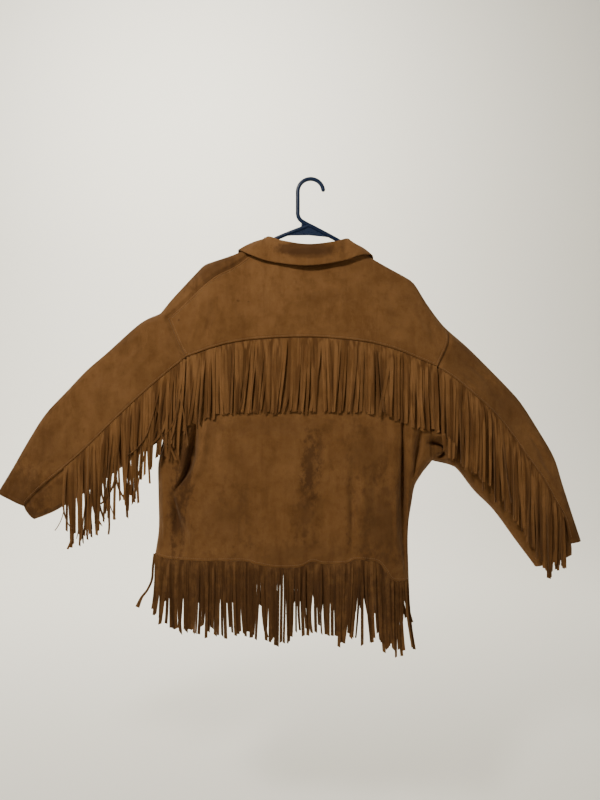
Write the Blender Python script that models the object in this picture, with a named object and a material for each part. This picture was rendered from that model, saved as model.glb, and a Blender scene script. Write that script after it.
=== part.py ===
"""Fringed buckskin jacket hung by its back on a tubular plastic hanger.

Written in millimetres, made in metres. +X is to the right of someone who looks at
the jacket's back, +Y points from the back to the front, +Z is up. The origin is
the inner top of the hanger's hook, where the hook rests.

The jacket hangs nearly flat. Its back and its front are two soft skins on either
side of the middle plane y = 0. Both close on the outline that the sleeves, the
shoulders and the sides make, and a panel is a patch of one or both of the skins.
"""
import math

import bmesh
import bpy
from mathutils import Vector

MM = 0.001
WALL = 2.0            # suede thickness
SEAM_GAP = 0.3        # between two pieces at a seam
FRINGE_WALL = 3.0     # plain solid of the fringe's reach
FRINGE_LIFT = 1.6     # fringe clear of the panel it lies on

# ------------------------------------------------------------------ outline (x, z)
NECK_LEFT = (-104, -127.5)
NECK_RIGHT = (92, -138.5)
TIP_LEFT = (-317, -278)       # shoulder tip, top of the armhole
TIP_RIGHT = (283, -311)
ARMPIT_LEFT = (-311, -541)
ARMPIT_RIGHT = (253, -587)
HEM_LEFT = (-327, -779)
HEM_RIGHT = (204, -834)

SLEEVE_TOP_LEFT = [TIP_LEFT, (-359, -299), (-429, -361), (-470, -396), (-513, -441), (-557, -488),
                   (-592, -542), (-627, -603), (-658, -654)]
SLEEVE_TOP_RIGHT = [TIP_RIGHT, (323, -346), (356, -378), (412, -435), (439, -466), (472, -517),
                    (508, -579), (526, -635), (544, -691), (565, -755)]
SHOULDER_LEFT = [TIP_LEFT, (-294, -250), (-243, -195), (-226, -178), (-212, -171.5), (-180, -161),
                 (-150, -149.5), NECK_LEFT]
SHOULDER_RIGHT = [TIP_RIGHT, (263, -288), (239, -254), (218, -220), (203, -206), (160, -182),
                  (125, -161.5), NECK_RIGHT]
SLEEVE_LOW_LEFT = [ARMPIT_LEFT, (-379, -587), (-453, -640), (-528, -687), (-557, -701), (-581, -710)]
SLEEVE_LOW_RIGHT = [ARMPIT_RIGHT, (293, -597), (310, -610), (341, -650), (382, -691), (426, -751),
                    (462, -799), (469, -809)]
SIDE_LEFT = [ARMPIT_LEFT, (-321, -591), (-321, -650), (-320, -725), HEM_LEFT]
SIDE_RIGHT = [ARMPIT_RIGHT, (229, -617), (216, -640), (210, -672), (204, -709), (202, -740),
              (202, -774), HEM_RIGHT]

# ------------------------------------------------------------------ seams (x, z)
ARMHOLE_KNEE_LEFT = (-256, -373)      # yoke seam, armhole and sleeve fringe seam meet
ARMHOLE_KNEE_RIGHT = (256, -393)
YOKE_CORNER_LEFT = (-297, -291)       # the left shoulder seam lies behind the ridge
SHOULDER_SEAM_LEFT = [YOKE_CORNER_LEFT, (-261, -258), (-230, -229), (-198, -203), (-158, -181),
                      (-112, -146)]
BACK_NECK = [(-112, -146), (-84, -157), (-8, -168), (55, -164), (84, -155), NECK_RIGHT]
YOKE_SEAM = [ARMHOLE_KNEE_LEFT, (-187, -350), (-126, -338), (-45, -333), (17, -333), (78, -338),
             (129, -346), (180, -361), (221, -378), ARMHOLE_KNEE_RIGHT]
ARMHOLE_YOKE_LEFT = [YOKE_CORNER_LEFT, (-288, -310), (-270, -349), ARMHOLE_KNEE_LEFT]
ARMHOLE_YOKE_RIGHT = [TIP_RIGHT, (280, -345), ARMHOLE_KNEE_RIGHT]
ARMHOLE_LOW_LEFT = [ARMHOLE_KNEE_LEFT, (-262, -440), (-285, -505), ARMPIT_LEFT]
ARMHOLE_LOW_RIGHT = [ARMHOLE_KNEE_RIGHT, (249, -460), (247, -530), ARMPIT_RIGHT]
ARMHOLE_FRONT_LEFT = [TIP_LEFT, (-285, -345), (-277, -430), (-290, -500), ARMPIT_LEFT]
ARMHOLE_FRONT_RIGHT = [TIP_RIGHT, (268, -380), (258, -460), (250, -530), ARMPIT_RIGHT]
SLEEVE_SEAM_LEFT = [ARMHOLE_KNEE_LEFT, (-334, -439), (-405, -503), (-441, -538), (-508, -598),
                    (-571, -651), (-599, -681)]
SLEEVE_SEAM_RIGHT = [ARMHOLE_KNEE_RIGHT, (309, -431), (379, -493), (417, -539), (443, -577),
                     (476, -621), (500, -662), (525, -706), (538, -759)]
CUFF_LEFT = [(-590, -698)]             # the under sleeve's cuff, between its ends
CUFF_RIGHT = [(539, -781), (520, -790)]
FRONT_NECK_LEFT = [NECK_LEFT, (-98, -165), (-72, -208), (-38, -232), (-8, -240)]
FRONT_NECK_RIGHT = [NECK_RIGHT, (86, -170), (58, -210), (24, -232), (-8, -240)]
CENTRE_FRONT = [(-8, -240), (-22, -420), (-42, -620), (-60, -790)]
HEM_BACK = [HEM_LEFT, (-285, -786), (-145, -787), (-115, -793), (-77, -799), (-26, -799), (1, -788),
            (22, -793), (71, -791), (88, -784), (130, -789), (148, -808), (165, -830), HEM_RIGHT]
HEM_FRONT_LEFT = [HEM_LEFT, (-200, -777), (-60, -790)]
HEM_FRONT_RIGHT = [HEM_RIGHT, (80, -806), (-60, -790)]

# ------------------------------------------------- how far the skins stand off y = 0
# height, back, front
BODY_DEPTH = [(-120, 22, 21), (-180, 27, 23), (-250, 34, 26), (-340, 44, 28), (-500, 51, 29),
              (-700, 56, 31), (-850, 58, 32)]
# reach from the body's middle, back, front, share of the sleeve's own depth
SLEEVE_DEPTH = [(270, 34, 22, 0.0), (330, 32, 21, 0.25), (440, 29, 19, 1.0), (560, 25, 16, 1.0),
                (700, 22, 14, 1.0)]
BODY_MIDDLE_X = -18
EDGE_ROLL = 16        # tight roll at the outline
EDGE_SLOPE = 110      # slower swell towards the middle of a panel
ROLL_SHARE = 0.45
LEAST_DEPTH = 4.5     # the folds never press a skin closer to the middle plane
ON_OUTLINE = 0.2      # nearer than this to the outline counts as on it
FOLD_FADE = 0.2       # share of a fold's length over which each end fades

# largest folds: start, end, height (a trough is negative), half width
BACK_FOLDS = [((-240, -505), (-285, -650), -17, 9), ((-225, -515), (-262, -640), 7, 13),
              ((180, -500), (183, -815), -15, 8), ((164, -520), (168, -800), 5, 12),
              ((84, -590), (79, -765), -5, 12), ((-216, -255), (-222, -345), -6, 14),
              ((-240, -232), (-246, -345), 5, 12), ((-268, -560), (-262, -700), -6, 12),
              ((-432, -400), (-330, -345), -4, 10), ((360, -430), (445, -520), -4, 12),
              ((274, -545), (296, -568), 7, 9)]
FRONT_FOLDS = [((-215, -330), (-190, -640), -6, 16), ((150, -350), (120, -690), -7, 18),
               ((-262, -560), (-250, -720), 5, 14), ((60, -420), (40, -600), 4, 15),
               ((-420, -440), (-340, -390), -4, 12), ((340, -470), (430, -580), -4, 12)]


# ------------------------------------------------------------------ curves
def spline(points, steps=5):
    """Points of a smooth curve through the given ones, a few to each span."""
    before = [2 * a - b for a, b in zip(points[0], points[1])]
    beyond = [2 * a - b for a, b in zip(points[-1], points[-2])]
    knots = [before, *points, beyond]
    out = []
    for p0, p1, p2, p3 in zip(knots, knots[1:], knots[2:], knots[3:]):
        for step in range(steps):
            t = step / steps
            out.append(tuple(b + t / 2 * (c - a + t * (2 * a - 5 * b + 4 * c - d + t * (3 * (b - c) + d - a)))
                             for a, b, c, d in zip(p0, p1, p2, p3)))
    return [*out, tuple(points[-1])]


def walk(points, share):
    """The point at a share of the length of a run of straight spans."""
    lengths = [math.dist(a, b) for a, b in zip(points, points[1:])]
    left = share * sum(lengths)
    for a, b, length in zip(points, points[1:], lengths):
        if left <= length:
            return tuple(p + (q - p) * left / length for p, q in zip(a, b))
        left -= length
    return tuple(points[-1])


def between(rows, value):
    """A row of a table at a value of its first column, in either order of rows."""
    rows = sorted(rows)
    value = min(max(value, rows[0][0]), rows[-1][0])
    for low, high in zip(rows, rows[1:]):
        if value <= high[0]:
            share = (value - low[0]) / (high[0] - low[0])
            return [a + (b - a) * share for a, b in zip(low[1:], high[1:])]


RIDGE = spline(SLEEVE_TOP_LEFT[::-1] + SHOULDER_LEFT[1:] + SHOULDER_RIGHT[::-1][:-1] + SLEEVE_TOP_RIGHT)
UNDER_LEFT = spline(SLEEVE_LOW_LEFT[::-1] + SIDE_LEFT[1:])
UNDER_RIGHT = spline(SLEEVE_LOW_RIGHT[::-1] + SIDE_RIGHT[1:])
OUTLINE = [(RIDGE, 1), (UNDER_LEFT, -1), (UNDER_RIGHT, 1)]    # inside is to the right, or the left


def outline_place(x, z):
    """How far inside the outline a place is, and the unit direction square into it."""
    best = None
    for run, hand in OUTLINE:
        for index, ((ax, az), (bx, bz)) in enumerate(zip(run, run[1:])):
            sx, sz = bx - ax, bz - az
            share = min(max(((x - ax) * sx + (z - az) * sz) / (sx * sx + sz * sz), 0), 1)
            dx, dz = x - ax - share * sx, z - az - share * sz
            gap = math.hypot(dx, dz)
            if best is None or gap < best[0]:
                best = gap, hand * (dx * sz - dz * sx), run, hand, index, share
    gap, side, run, hand, index, share = best
    before, here, after, beyond = (run[min(max(index + k, 0), len(run) - 1)] for k in (-1, 0, 1, 2))
    start = Vector((after[0] - before[0], after[1] - before[1])).normalized()
    end = Vector((beyond[0] - here[0], beyond[1] - here[1])).normalized()
    along = (start.lerp(end, share)).normalized()
    square = Vector((hand * along.y, 0, -hand * along.x))
    return (gap if side >= 0 else -gap), square


# ------------------------------------------------------------------ the two skins
def full_depth(x, z, front):
    body = between(BODY_DEPTH, z)[front]
    row = between(SLEEVE_DEPTH, abs(x - BODY_MIDDLE_X))
    return body + (row[front] - body) * row[2]


def fold_height(x, z, folds):
    total = 0
    for (ax, az), (bx, bz), height, width in folds:
        sx, sz = bx - ax, bz - az
        along = ((x - ax) * sx + (z - az) * sz) / (sx * sx + sz * sz)
        across = ((x - ax) * sz - (z - az) * sx) / math.hypot(sx, sz)
        beyond = max(FOLD_FADE - along, along - 1 + FOLD_FADE, 0) / (2 * FOLD_FADE)
        total += height * math.cos(math.pi / 2 * min(beyond, 1)) ** 2 * math.exp(-(across / width) ** 2)
    return total


def depth(x, z, front=0):
    """How far the outer skin stands off the middle plane at a place."""
    away = outline_place(x, z)[0]
    if away < ON_OUTLINE:
        return 0
    roll = math.sqrt(1 - (1 - min(away / EDGE_ROLL, 1)) ** 2)
    swell = math.sin(math.pi / 2 * min(away / EDGE_SLOPE, 1))
    plain = full_depth(x, z, front) * (ROLL_SHARE * roll + (1 - ROLL_SHARE) * swell)
    folds = fold_height(x, z, FRONT_FOLDS if front else BACK_FOLDS)
    return max(plain + folds * roll ** 2, min(plain, LEAST_DEPTH))


def skin(x, z, side):
    """The outer and the inner point of the wall. The side is -1 at the back, 1 in front,
    and 0 on a ridge that one piece of suede rolls over."""
    away, square = outline_place(x, z)
    front = int(side > 0)
    outer = Vector((x, side * (SEAM_GAP / 2 + depth(x, z, front)), z))
    if away < ON_OUTLINE or side == 0:
        return outer, outer + WALL * square
    step = min(1.0, away / 2)
    slope_x = (depth(x + step, z, front) - depth(x - step, z, front)) / (2 * step)
    slope_z = (depth(x, z + step, front) - depth(x, z - step, front)) / (2 * step)
    return outer, outer + WALL * Vector((slope_x, -side, slope_z)).normalized()


# ------------------------------------------------------------------ meshes
def material(name, colour, roughness, metallic=0.0):
    made = bpy.data.materials.get(name) or bpy.data.materials.new(name)
    made.use_nodes = True
    shader = made.node_tree.nodes["Principled BSDF"]
    shader.inputs["Base Color"].default_value = (*colour, 1)
    shader.inputs["Roughness"].default_value = roughness
    shader.inputs["Metallic"].default_value = metallic
    return made


def make_object(name, points, faces, surface):
    """A closed body from points in millimetres."""
    mesh = bpy.data.meshes.new(name)
    mesh.from_pydata([tuple(c * MM for c in p) for p in points], [], faces)
    body = bmesh.new()
    body.from_mesh(mesh)
    bmesh.ops.triangulate(body, faces=[f for f in body.faces if len(f.verts) == 4])
    bmesh.ops.recalc_face_normals(body, faces=body.faces)
    if body.calc_volume(signed=True) < 0:
        bmesh.ops.reverse_faces(body, faces=body.faces)
    body.to_mesh(mesh)
    body.free()
    mesh.shade_smooth()
    mesh.set_sharp_from_angle(angle=math.radians(40))
    mesh.materials.append(surface)
    made = bpy.data.objects.new(name, mesh)
    bpy.context.scene.collection.objects.link(made)
    return made


def thick_sheet(name, outer, inner, surface):
    """A closed wall between two grids of points of the same size."""
    rows, columns = len(outer), len(outer[0])
    count = rows * columns
    at = lambda row, column: row * columns + column
    faces = []
    for row in range(rows - 1):
        for column in range(columns - 1):
            quad = at(row, column), at(row, column + 1), at(row + 1, column + 1), at(row + 1, column)
            faces.append(quad)
            faces.append(tuple(count + corner for corner in reversed(quad)))
    rim = [at(0, c) for c in range(columns)] + [at(r, columns - 1) for r in range(1, rows)]
    rim += [at(rows - 1, c) for c in range(columns - 2, -1, -1)] + [at(r, 0) for r in range(rows - 2, 0, -1)]
    for a, b in zip(rim, rim[1:] + rim[:1]):
        faces.append((b, a, count + a, count + b))
    points = [p for grid in (outer, inner) for line in grid for p in line]
    return make_object(name, points, faces, surface)


def patch(top, bottom, left, right):
    """A grid of places between four edges; top and bottom run left to right, the others down."""
    def shares(points):
        runs = [0]
        for a, b in zip(points, points[1:]):
            runs.append(runs[-1] + math.dist(a, b))
        return [run / runs[-1] for run in runs]
    across = [(a + b) / 2 for a, b in zip(shares(top), shares(bottom))]
    down = [(a + b) / 2 for a, b in zip(shares(left), shares(right))]
    grid = []
    for row, v in enumerate(down):
        line = []
        for column, u in enumerate(across):
            line.append(tuple(
                (1 - v) * top[column][k] + v * bottom[column][k] + (1 - u) * left[row][k] + u * right[row][k]
                - (1 - u) * (1 - v) * top[0][k] - u * (1 - v) * top[-1][k]
                - (1 - u) * v * bottom[0][k] - u * v * bottom[-1][k] for k in (0, 1)))
        grid.append(line)
    return grid


def pull(points, towards, gap=SEAM_GAP):
    """An edge's points, moved by the gap towards the next line of points."""
    return [tuple(a + (b - a) * gap / math.dist(p, q) for a, b in zip(p, q)) for p, q in zip(points, towards)]


def panel(name, rows, surface):
    """A piece of suede from rows of places, each with the side that it lies on."""
    walls = [[skin(x, z, side) for x, z in row] for side, row in rows]
    return thick_sheet(name, [[w[0] for w in line] for line in walls],
                       [[w[1] for w in line] for line in walls], surface)


def grid_normals(grid):
    """Unit directions square to a grid of points."""
    rows, columns = len(grid), len(grid[0])
    out = []
    for r in range(rows):
        line = []
        for c in range(columns):
            down = grid[min(r + 1, rows - 1)][c] - grid[max(r - 1, 0)][c]
            across = grid[r][min(c + 1, columns - 1)] - grid[r][max(c - 1, 0)]
            line.append(down.cross(across).normalized())
        out.append(line)
    return out


def shares_of(points, shares):
    run = spline(points)
    return [walk(run, share) for share in shares]


# ------------------------------------------------------------------ shares along the edges
ACROSS_SHOULDER = [0, .06, .17, .3, .43, .56, .69, .81, .92, 1]
ACROSS_NECK = [.15, .32, .5, .68, .83, .92, .96]
ACROSS_BACK = [0, .008, .03, .065, .1, .14, .18, .22, .26, .31,
               .36, .42, .48, .54, .6, .64, .68,
               .72, .77, .82, .87, .905, .932, .952, .97, .988, 1]
DOWN_WRAP = [0, .45, .8]
DOWN_YOKE = [0, .03, .11, .25, .45, .7, 1]
DOWN_ARMHOLE = [0, .2, .4, .6, .78, .9, .97, 1]
DOWN_SIDE = [.12, .26, .4, .55, .7, .85, 1]
DOWN_FRONT = [0, .015, .05, .12, .24, .38, .52, .66, .8, .92, .98, 1]
ROUND_NECK = [0, .05, .14, .28, .46, .64, .82, 1]
DOWN_CENTRE = [.06, .13, .21, .3, .4, .5, .6, .7, .8, .9, 1]
ALONG_SLEEVE = [0, .05, .13, .22, .31, .4, .5, .6, .7, .8, .9, 1]

SUEDE = (.190, .088, .030)
SUEDE_FRINGE = (.150, .070, .028)
HANGER_BLUE = (.010, .022, .065)


def suede():
    return material("suede", SUEDE, 0.9)


def fringe_suede():
    return material("suede_fringe", SUEDE_FRINGE, 0.92)


def hanger_plastic():
    return material("hanger_plastic", HANGER_BLUE, 0.35)


# ------------------------------------------------------------------ panels
def back_edges():
    """Edges that the yoke shares with its neighbours."""
    top = (shares_of(SHOULDER_SEAM_LEFT, ACROSS_SHOULDER) + shares_of(BACK_NECK, ACROSS_NECK)
           + shares_of(SHOULDER_RIGHT, ACROSS_SHOULDER)[::-1])
    seam = shares_of(YOKE_SEAM, ACROSS_BACK)
    return top, seam


def back_yoke():
    top, seam = back_edges()
    grid = patch(top, seam, shares_of(ARMHOLE_YOKE_LEFT, DOWN_YOKE), shares_of(ARMHOLE_YOKE_RIGHT, DOWN_YOKE))
    return panel("back_yoke", [(-1, row) for row in grid], suede())


def back_body():
    seam = back_edges()[1]
    left = shares_of(ARMHOLE_LOW_LEFT, DOWN_ARMHOLE) + shares_of(SIDE_LEFT, DOWN_SIDE)
    right = shares_of(ARMHOLE_LOW_RIGHT, DOWN_ARMHOLE) + shares_of(SIDE_RIGHT, DOWN_SIDE)
    grid = patch(seam, shares_of(HEM_BACK, ACROSS_BACK), left, right)
    grid[0] = pull(grid[0], grid[1])
    return panel("back_body", [(-1, row) for row in grid], suede())


def front(name, shoulder, wrap, neck, armhole, side, hem):
    """A front, from its shoulder seam, which may lie behind the ridge, to its hem."""
    ridge = shares_of(shoulder, ACROSS_SHOULDER)
    outer = shares_of(armhole, DOWN_FRONT) + shares_of(side, DOWN_SIDE)
    inner = shares_of(neck, ROUND_NECK) + shares_of(CENTRE_FRONT, DOWN_CENTRE)
    grid = patch(ridge, shares_of(hem, ACROSS_SHOULDER), outer, inner)
    away = -1 if name.endswith("left") else 1
    grid = [row[:-1] + [(row[-1][0] + away * SEAM_GAP / 2, row[-1][1])] for row in grid]
    rows = [(1, row) for row in grid]
    if wrap:
        seam = shares_of(wrap, ACROSS_SHOULDER)
        behind = [[tuple(a + (b - a) * share for a, b in zip(p, q)) for p, q in zip(seam, ridge)]
                  for share in DOWN_WRAP]
        behind[0] = pull(behind[0], behind[1])
        rows = [(-1, row) for row in behind] + [(0, grid[0])] + rows[1:]
    return panel(name, rows, suede())


def top_sleeve(name, ridge, seam, low, tip_to_corner, armhole_yoke, armhole_front, under_cuff):
    """From the fringe seam behind, over the ridge and down the front to the underarm."""
    armhole = tip_to_corner + shares_of(armhole_yoke, DOWN_YOKE)
    top = shares_of(ridge, ALONG_SLEEVE)
    bottom = shares_of(seam, ALONG_SLEEVE)
    under = shares_of(low, ALONG_SLEEVE)
    down = [math.dist(p, armhole[0]) / math.dist(armhole[-1], armhole[0]) for p in armhole]
    cuff = [walk([top[-1], bottom[-1]], share) for share in down]
    behind = patch(top, bottom, armhole, cuff)
    cuff_run = [top[-1], bottom[-1], *under_cuff, under[-1]]
    before = patch(top, under, shares_of(armhole_front, DOWN_FRONT),
                   [walk(cuff_run, share) for share in DOWN_FRONT])
    rows = [(-1, row) for row in behind[:0:-1]] + [(0, behind[0])] + [(1, row) for row in before[1:]]
    rows = [(side, [pull(row[:1], row[1:2])[0], *row[1:]]) for side, row in rows]
    return panel(name, rows, suede())


def under_sleeve(name, seam, low, armhole, under_cuff):
    top = shares_of(seam, ALONG_SLEEVE)
    bottom = shares_of(low, ALONG_SLEEVE)
    cuff = [walk([top[-1], *under_cuff, bottom[-1]], share) for share in DOWN_ARMHOLE]
    grid = patch(top, bottom, shares_of(armhole, DOWN_ARMHOLE), cuff)
    grid[0] = pull(grid[0], grid[1])
    grid = [[pull(row[:1], row[1:2])[0], *row[1:]] for row in grid]
    return panel(name, [(-1, row) for row in grid], suede())


# ------------------------------------------------------------------ collar
# stand at the neck seam, fold at the top, free edge of the leaf: each x, y, z
COLLAR = [((-11, 26, -233), (-12, 30, -214), (-52, 40, -268)),
          ((-40, 24, -224), (-44, 30, -200), (-100, 37, -240)),
          ((-74, 20, -196), (-78, 25, -170), (-133, 31, -205)),
          ((-94, 13, -156), (-97, 15, -134), (-151, 20, -166)),
          ((-98, 3, -125.5), (-100, 2, -120.5), (-154, 0, -145)),
          ((-94, -6, -126.5), (-96, -6, -119.5), (-143, -16, -151)),
          ((-84, -11, -138), (-87, -12, -119), (-126, -27, -160)),
          ((-58, -15, -154), (-60, -20, -129), (-85, -34, -175)),
          ((-8, -18, -164), (-8, -25, -137.5), (-10, -38, -184)),
          ((44, -15, -158), (46, -20, -131), (62, -34, -174)),
          ((69, -11, -142), (73, -12, -123), (98, -28, -161)),
          ((80, -6, -132.5), (82, -6, -126.5), (117, -17, -157)),
          ((84, 3, -134.5), (87, 2, -129.5), (129, 0, -157.5)),
          ((82, 13, -160), (85, 15, -138), (129, 21, -175)),
          ((62, 20, -198), (68, 25, -174), (112, 31, -214)),
          ((26, 24, -225), (30, 30, -201), (78, 37, -246)),
          ((-5, 26, -233), (-4, 30, -214), (36, 40, -270))]
FOLD_HALF_WIDTH = 2.2
FOLD_DROP = 2.0
LEAF_SHARES = (0.35, 0.7)     # lines of points between the leaf's edge and its fold


def collar():
    """A stand and a leaf in one turned-over strip, round the neck from front to front."""
    lines = []
    for station in COLLAR:
        stand, fold, leaf = (Vector(p) for p in station)
        out = Vector((leaf.x - stand.x, leaf.y - stand.y, 0)).normalized() * FOLD_HALF_WIDTH
        drop = Vector((0, 0, FOLD_DROP))
        outer, inner = fold + out - drop, fold - out - drop
        leaf_lines = [leaf.lerp(outer, share) for share in LEAF_SHARES]
        lines.append([leaf, *leaf_lines, outer, fold, inner, inner.lerp(stand, 0.5), stand])
    round_neck = [spline(line, 2) for line in zip(*lines)]
    grid = [[Vector(p) for p in station] for station in zip(*round_neck)]
    normals = grid_normals(grid)
    outer = [[p + n * WALL / 2 for p, n in zip(*pair)] for pair in zip(grid, normals)]
    inner = [[p - n * WALL / 2 for p, n in zip(*pair)] for pair in zip(grid, normals)]
    return thick_sheet("collar", outer, inner, suede())


# ------------------------------------------------------------------ fringe
# where the strands end: x, z
YOKE_FRINGE_END = [(-256, -528), (-226, -502), (-145, -494), (57, -490), (148, -496), (179, -508),
                   (256, -530)]
SLEEVE_FRINGE_END_LEFT = [(-512, -720), (-500, -755), (-455, -742), (-411, -700), (-376, -664),
                          (-349, -640), (-320, -590), (-282, -546), (-254, -546)]
SLEEVE_FRINGE_END_RIGHT = [(254, -548), (300, -590), (327, -606), (359, -640), (400, -687), (443, -743),
                           (475, -799), (490, -823), (512, -806)]
HEM_FRINGE_END = [(-324, -886), (-300, -916), (-267, -924), (-145, -928), (-101, -938), (-75, -946),
                  (-44, -946), (0, -926), (57, -937), (128, -941), (142, -958), (173, -973), (201, -968)]
FRONT_FRINGE_END = [(-324, -882), (-60, -900), (201, -930)]
SLEEVE_FRINGE_LEFT_SHARE = (.006, .74)     # the seam runs on plain towards the cuff
SLEEVE_FRINGE_RIGHT_SHARE = (.006, .87)
SLEEVE_FRINGE_COLUMNS = 15
YOKE_FRINGE_SHARE = (.012, .988)
HEM_FRINGE_SHARE = (.004, .996)
ACROSS_FRONT_FRINGE = [.02, .06, .12, .24, .36, .48, .6, .72, .84, .995]
DOWN_FRINGE = [0, .12, .3, .5, .7, .85, 1]


def fringe(name, seam, ends, side, lift, on_panel=True):
    """The reach of a row of strands: it lies on the panel, or just hangs from its edge."""
    front = int(side > 0)
    columns = []
    for x, top in seam:
        bottom = between(ends, x)[0]
        reach = 0
        column = []
        for share in DOWN_FRINGE:
            z = top - SEAM_GAP - (top - SEAM_GAP - bottom) * share
            if on_panel or share == 0:
                reach = max(reach, depth(x, z, front))
            column.append(Vector((x, side * (reach + SEAM_GAP / 2), z)))
        columns.append(column)
    grid = [list(row) for row in zip(*columns)]
    normals = grid_normals(grid)
    turn = side if normals[0][len(seam) // 2].y > 0 else -side
    near, far = ([[p + n * turn * off for p, n in zip(*pair)] for pair in zip(grid, normals)]
                 for off in (lift, lift + FRINGE_WALL))
    return thick_sheet(name, far, near, fringe_suede())


def fringes():
    start, stop = YOKE_FRINGE_SHARE
    across = [start, *[share for share in ACROSS_BACK if start < share < stop], stop]
    fringe("yoke_fringe", shares_of(YOKE_SEAM, across), YOKE_FRINGE_END, -1, FRINGE_LIFT)
    for name, seam, ends, (start, stop) in (
            ("left", SLEEVE_SEAM_LEFT, SLEEVE_FRINGE_END_LEFT, SLEEVE_FRINGE_LEFT_SHARE),
            ("right", SLEEVE_SEAM_RIGHT, SLEEVE_FRINGE_END_RIGHT, SLEEVE_FRINGE_RIGHT_SHARE)):
        spans = SLEEVE_FRINGE_COLUMNS - 1
        places = shares_of(seam, [start + (stop - start) * k / spans for k in range(SLEEVE_FRINGE_COLUMNS)])
        fringe("sleeve_fringe_" + name, places, ends, -1, FRINGE_LIFT)
    start, stop = HEM_FRINGE_SHARE
    inside = [share for share in ACROSS_BACK if start < share < stop]
    fringe("hem_fringe_back", shares_of(HEM_BACK, inside), HEM_FRINGE_END, -1, 0, False)
    for name, hem in (("left", HEM_FRONT_LEFT), ("right", HEM_FRONT_RIGHT)):
        fringe("hem_fringe_front_" + name, shares_of(hem, ACROSS_FRONT_FRINGE), FRONT_FRINGE_END, 1, 0, False)


# a loose strand at the left hem corner: x, y, z, width
LOOSE_STRAND = [(-331, 6, -784, 5), (-334, 5, -810, 5), (-336, 3, -838, 5), (-345, 1, -859, 5),
                (-357, 0, -875, 6), (-366, 0, -895, 9)]


def loose_strand():
    run = spline(LOOSE_STRAND, 3)
    front_face, back_face = [], []
    for index, (x, y, z, width) in enumerate(run):
        before, after = run[max(index - 1, 0)], run[min(index + 1, len(run) - 1)]
        along = Vector((after[0] - before[0], 0, after[2] - before[2])).normalized()
        across = Vector((-along.z, 0, along.x)) * width / 2
        middle = Vector((x, y, z))
        front_face.append([middle - across, middle + across])
        back_face.append([p + Vector((0, WALL, 0)) for p in front_face[-1]])
    return thick_sheet("loose_strand", front_face, back_face, fringe_suede())


# ------------------------------------------------------------------ hanger
TUBE_RADIUS = 4.3
TUBE_SIDES = 10
HOOK_RADIUS = 26.8                     # middle of the tube
HOOK_MIDDLE = (-2, TUBE_RADIUS - HOOK_RADIUS)
HOOK_TIP_ANGLE = 8
HOOK_SPANS = 12
STEM_FOOT_Z = -68
STEM_BEND = 20
STEM_BEND_ANGLES = (180, 195, 210, 225, 240)
HANGER_APEX = (-4, -93)
HANGER_TILT = 3.4                      # degrees, lower on the right
HANGER_ARM = [(0, 0), (70, -33), (140, -76), (200, -108)]
ARM_END_RADIUS = 13
ARM_END_ANGLES = (63, 36, 9, -18, -45, -72, -90)     # the first one meets the arm
WEB_THICKNESS = 3
WEB = [(-21, -84), (-16, -90), (-2, -97), (30, -113), (46, -121), (30, -117.5), (-7, -114), (-42, -114.5),
       (-58, -116), (-42, -107), (-22, -98)]


def tilt(x, z):
    angle = -math.radians(HANGER_TILT)
    return (HANGER_APEX[0] + x * math.cos(angle) - z * math.sin(angle),
            HANGER_APEX[1] + x * math.sin(angle) + z * math.cos(angle))


def arc(middle_x, middle_z, radius, angles):
    turns = [math.radians(angle) for angle in angles]
    return [(middle_x + radius * math.cos(turn), middle_z + radius * math.sin(turn)) for turn in turns]


def tube(name, path, closed=False):
    """A round tube along places in the middle plane."""
    rings = []
    count = len(path)
    turns = [2 * math.pi * k / TUBE_SIDES for k in range(TUBE_SIDES)]
    forward = Vector((0, 1, 0))
    for index, (x, z) in enumerate(path):
        before = path[index - 1] if closed or index else path[0]
        after = path[(index + 1) % count] if closed or index + 1 < count else path[-1]
        along = Vector((after[0] - before[0], 0, after[1] - before[1])).normalized()
        across = Vector((-along.z, 0, along.x))
        rings.append([Vector((x, 0, z)) + TUBE_RADIUS * (math.cos(turn) * across + math.sin(turn) * forward)
                      for turn in turns])
    points = [p for ring in rings for p in ring]
    faces = []
    for ring in range(count if closed else count - 1):
        for k in range(TUBE_SIDES):
            a, b = ring * TUBE_SIDES, (ring + 1) % count * TUBE_SIDES
            faces.append((a + k, a + (k + 1) % TUBE_SIDES, b + (k + 1) % TUBE_SIDES, b + k))
    if not closed:
        faces += [tuple(range(TUBE_SIDES)), tuple(reversed(range(len(points) - TUBE_SIDES, len(points))))]
    return make_object(name, points, faces, hanger_plastic())


def hook_path():
    sweep = 180 - HOOK_TIP_ANGLE
    angles = [HOOK_TIP_ANGLE + sweep * k / HOOK_SPANS for k in range(HOOK_SPANS + 1)]
    hook = arc(*HOOK_MIDDLE, HOOK_RADIUS, angles)
    stem_x = HOOK_MIDDLE[0] - HOOK_RADIUS
    bend = arc(stem_x + STEM_BEND, STEM_FOOT_Z, STEM_BEND, STEM_BEND_ANGLES)
    return hook + bend + [(HANGER_APEX[0], HANGER_APEX[1] - 0.6)]


def frame_path():
    end_x, end_z = HANGER_ARM[-1]
    first = math.radians(ARM_END_ANGLES[0])
    middle_x = end_x - ARM_END_RADIUS * math.cos(first)
    middle_z = end_z - ARM_END_RADIUS * math.sin(first)
    half = spline(HANGER_ARM, 3)[1:-1] + arc(middle_x, middle_z, ARM_END_RADIUS, ARM_END_ANGLES)
    return [tilt(x, z) for x, z in [(0, 0), *half, *[(-x, z) for x, z in reversed(half)]]]


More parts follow.
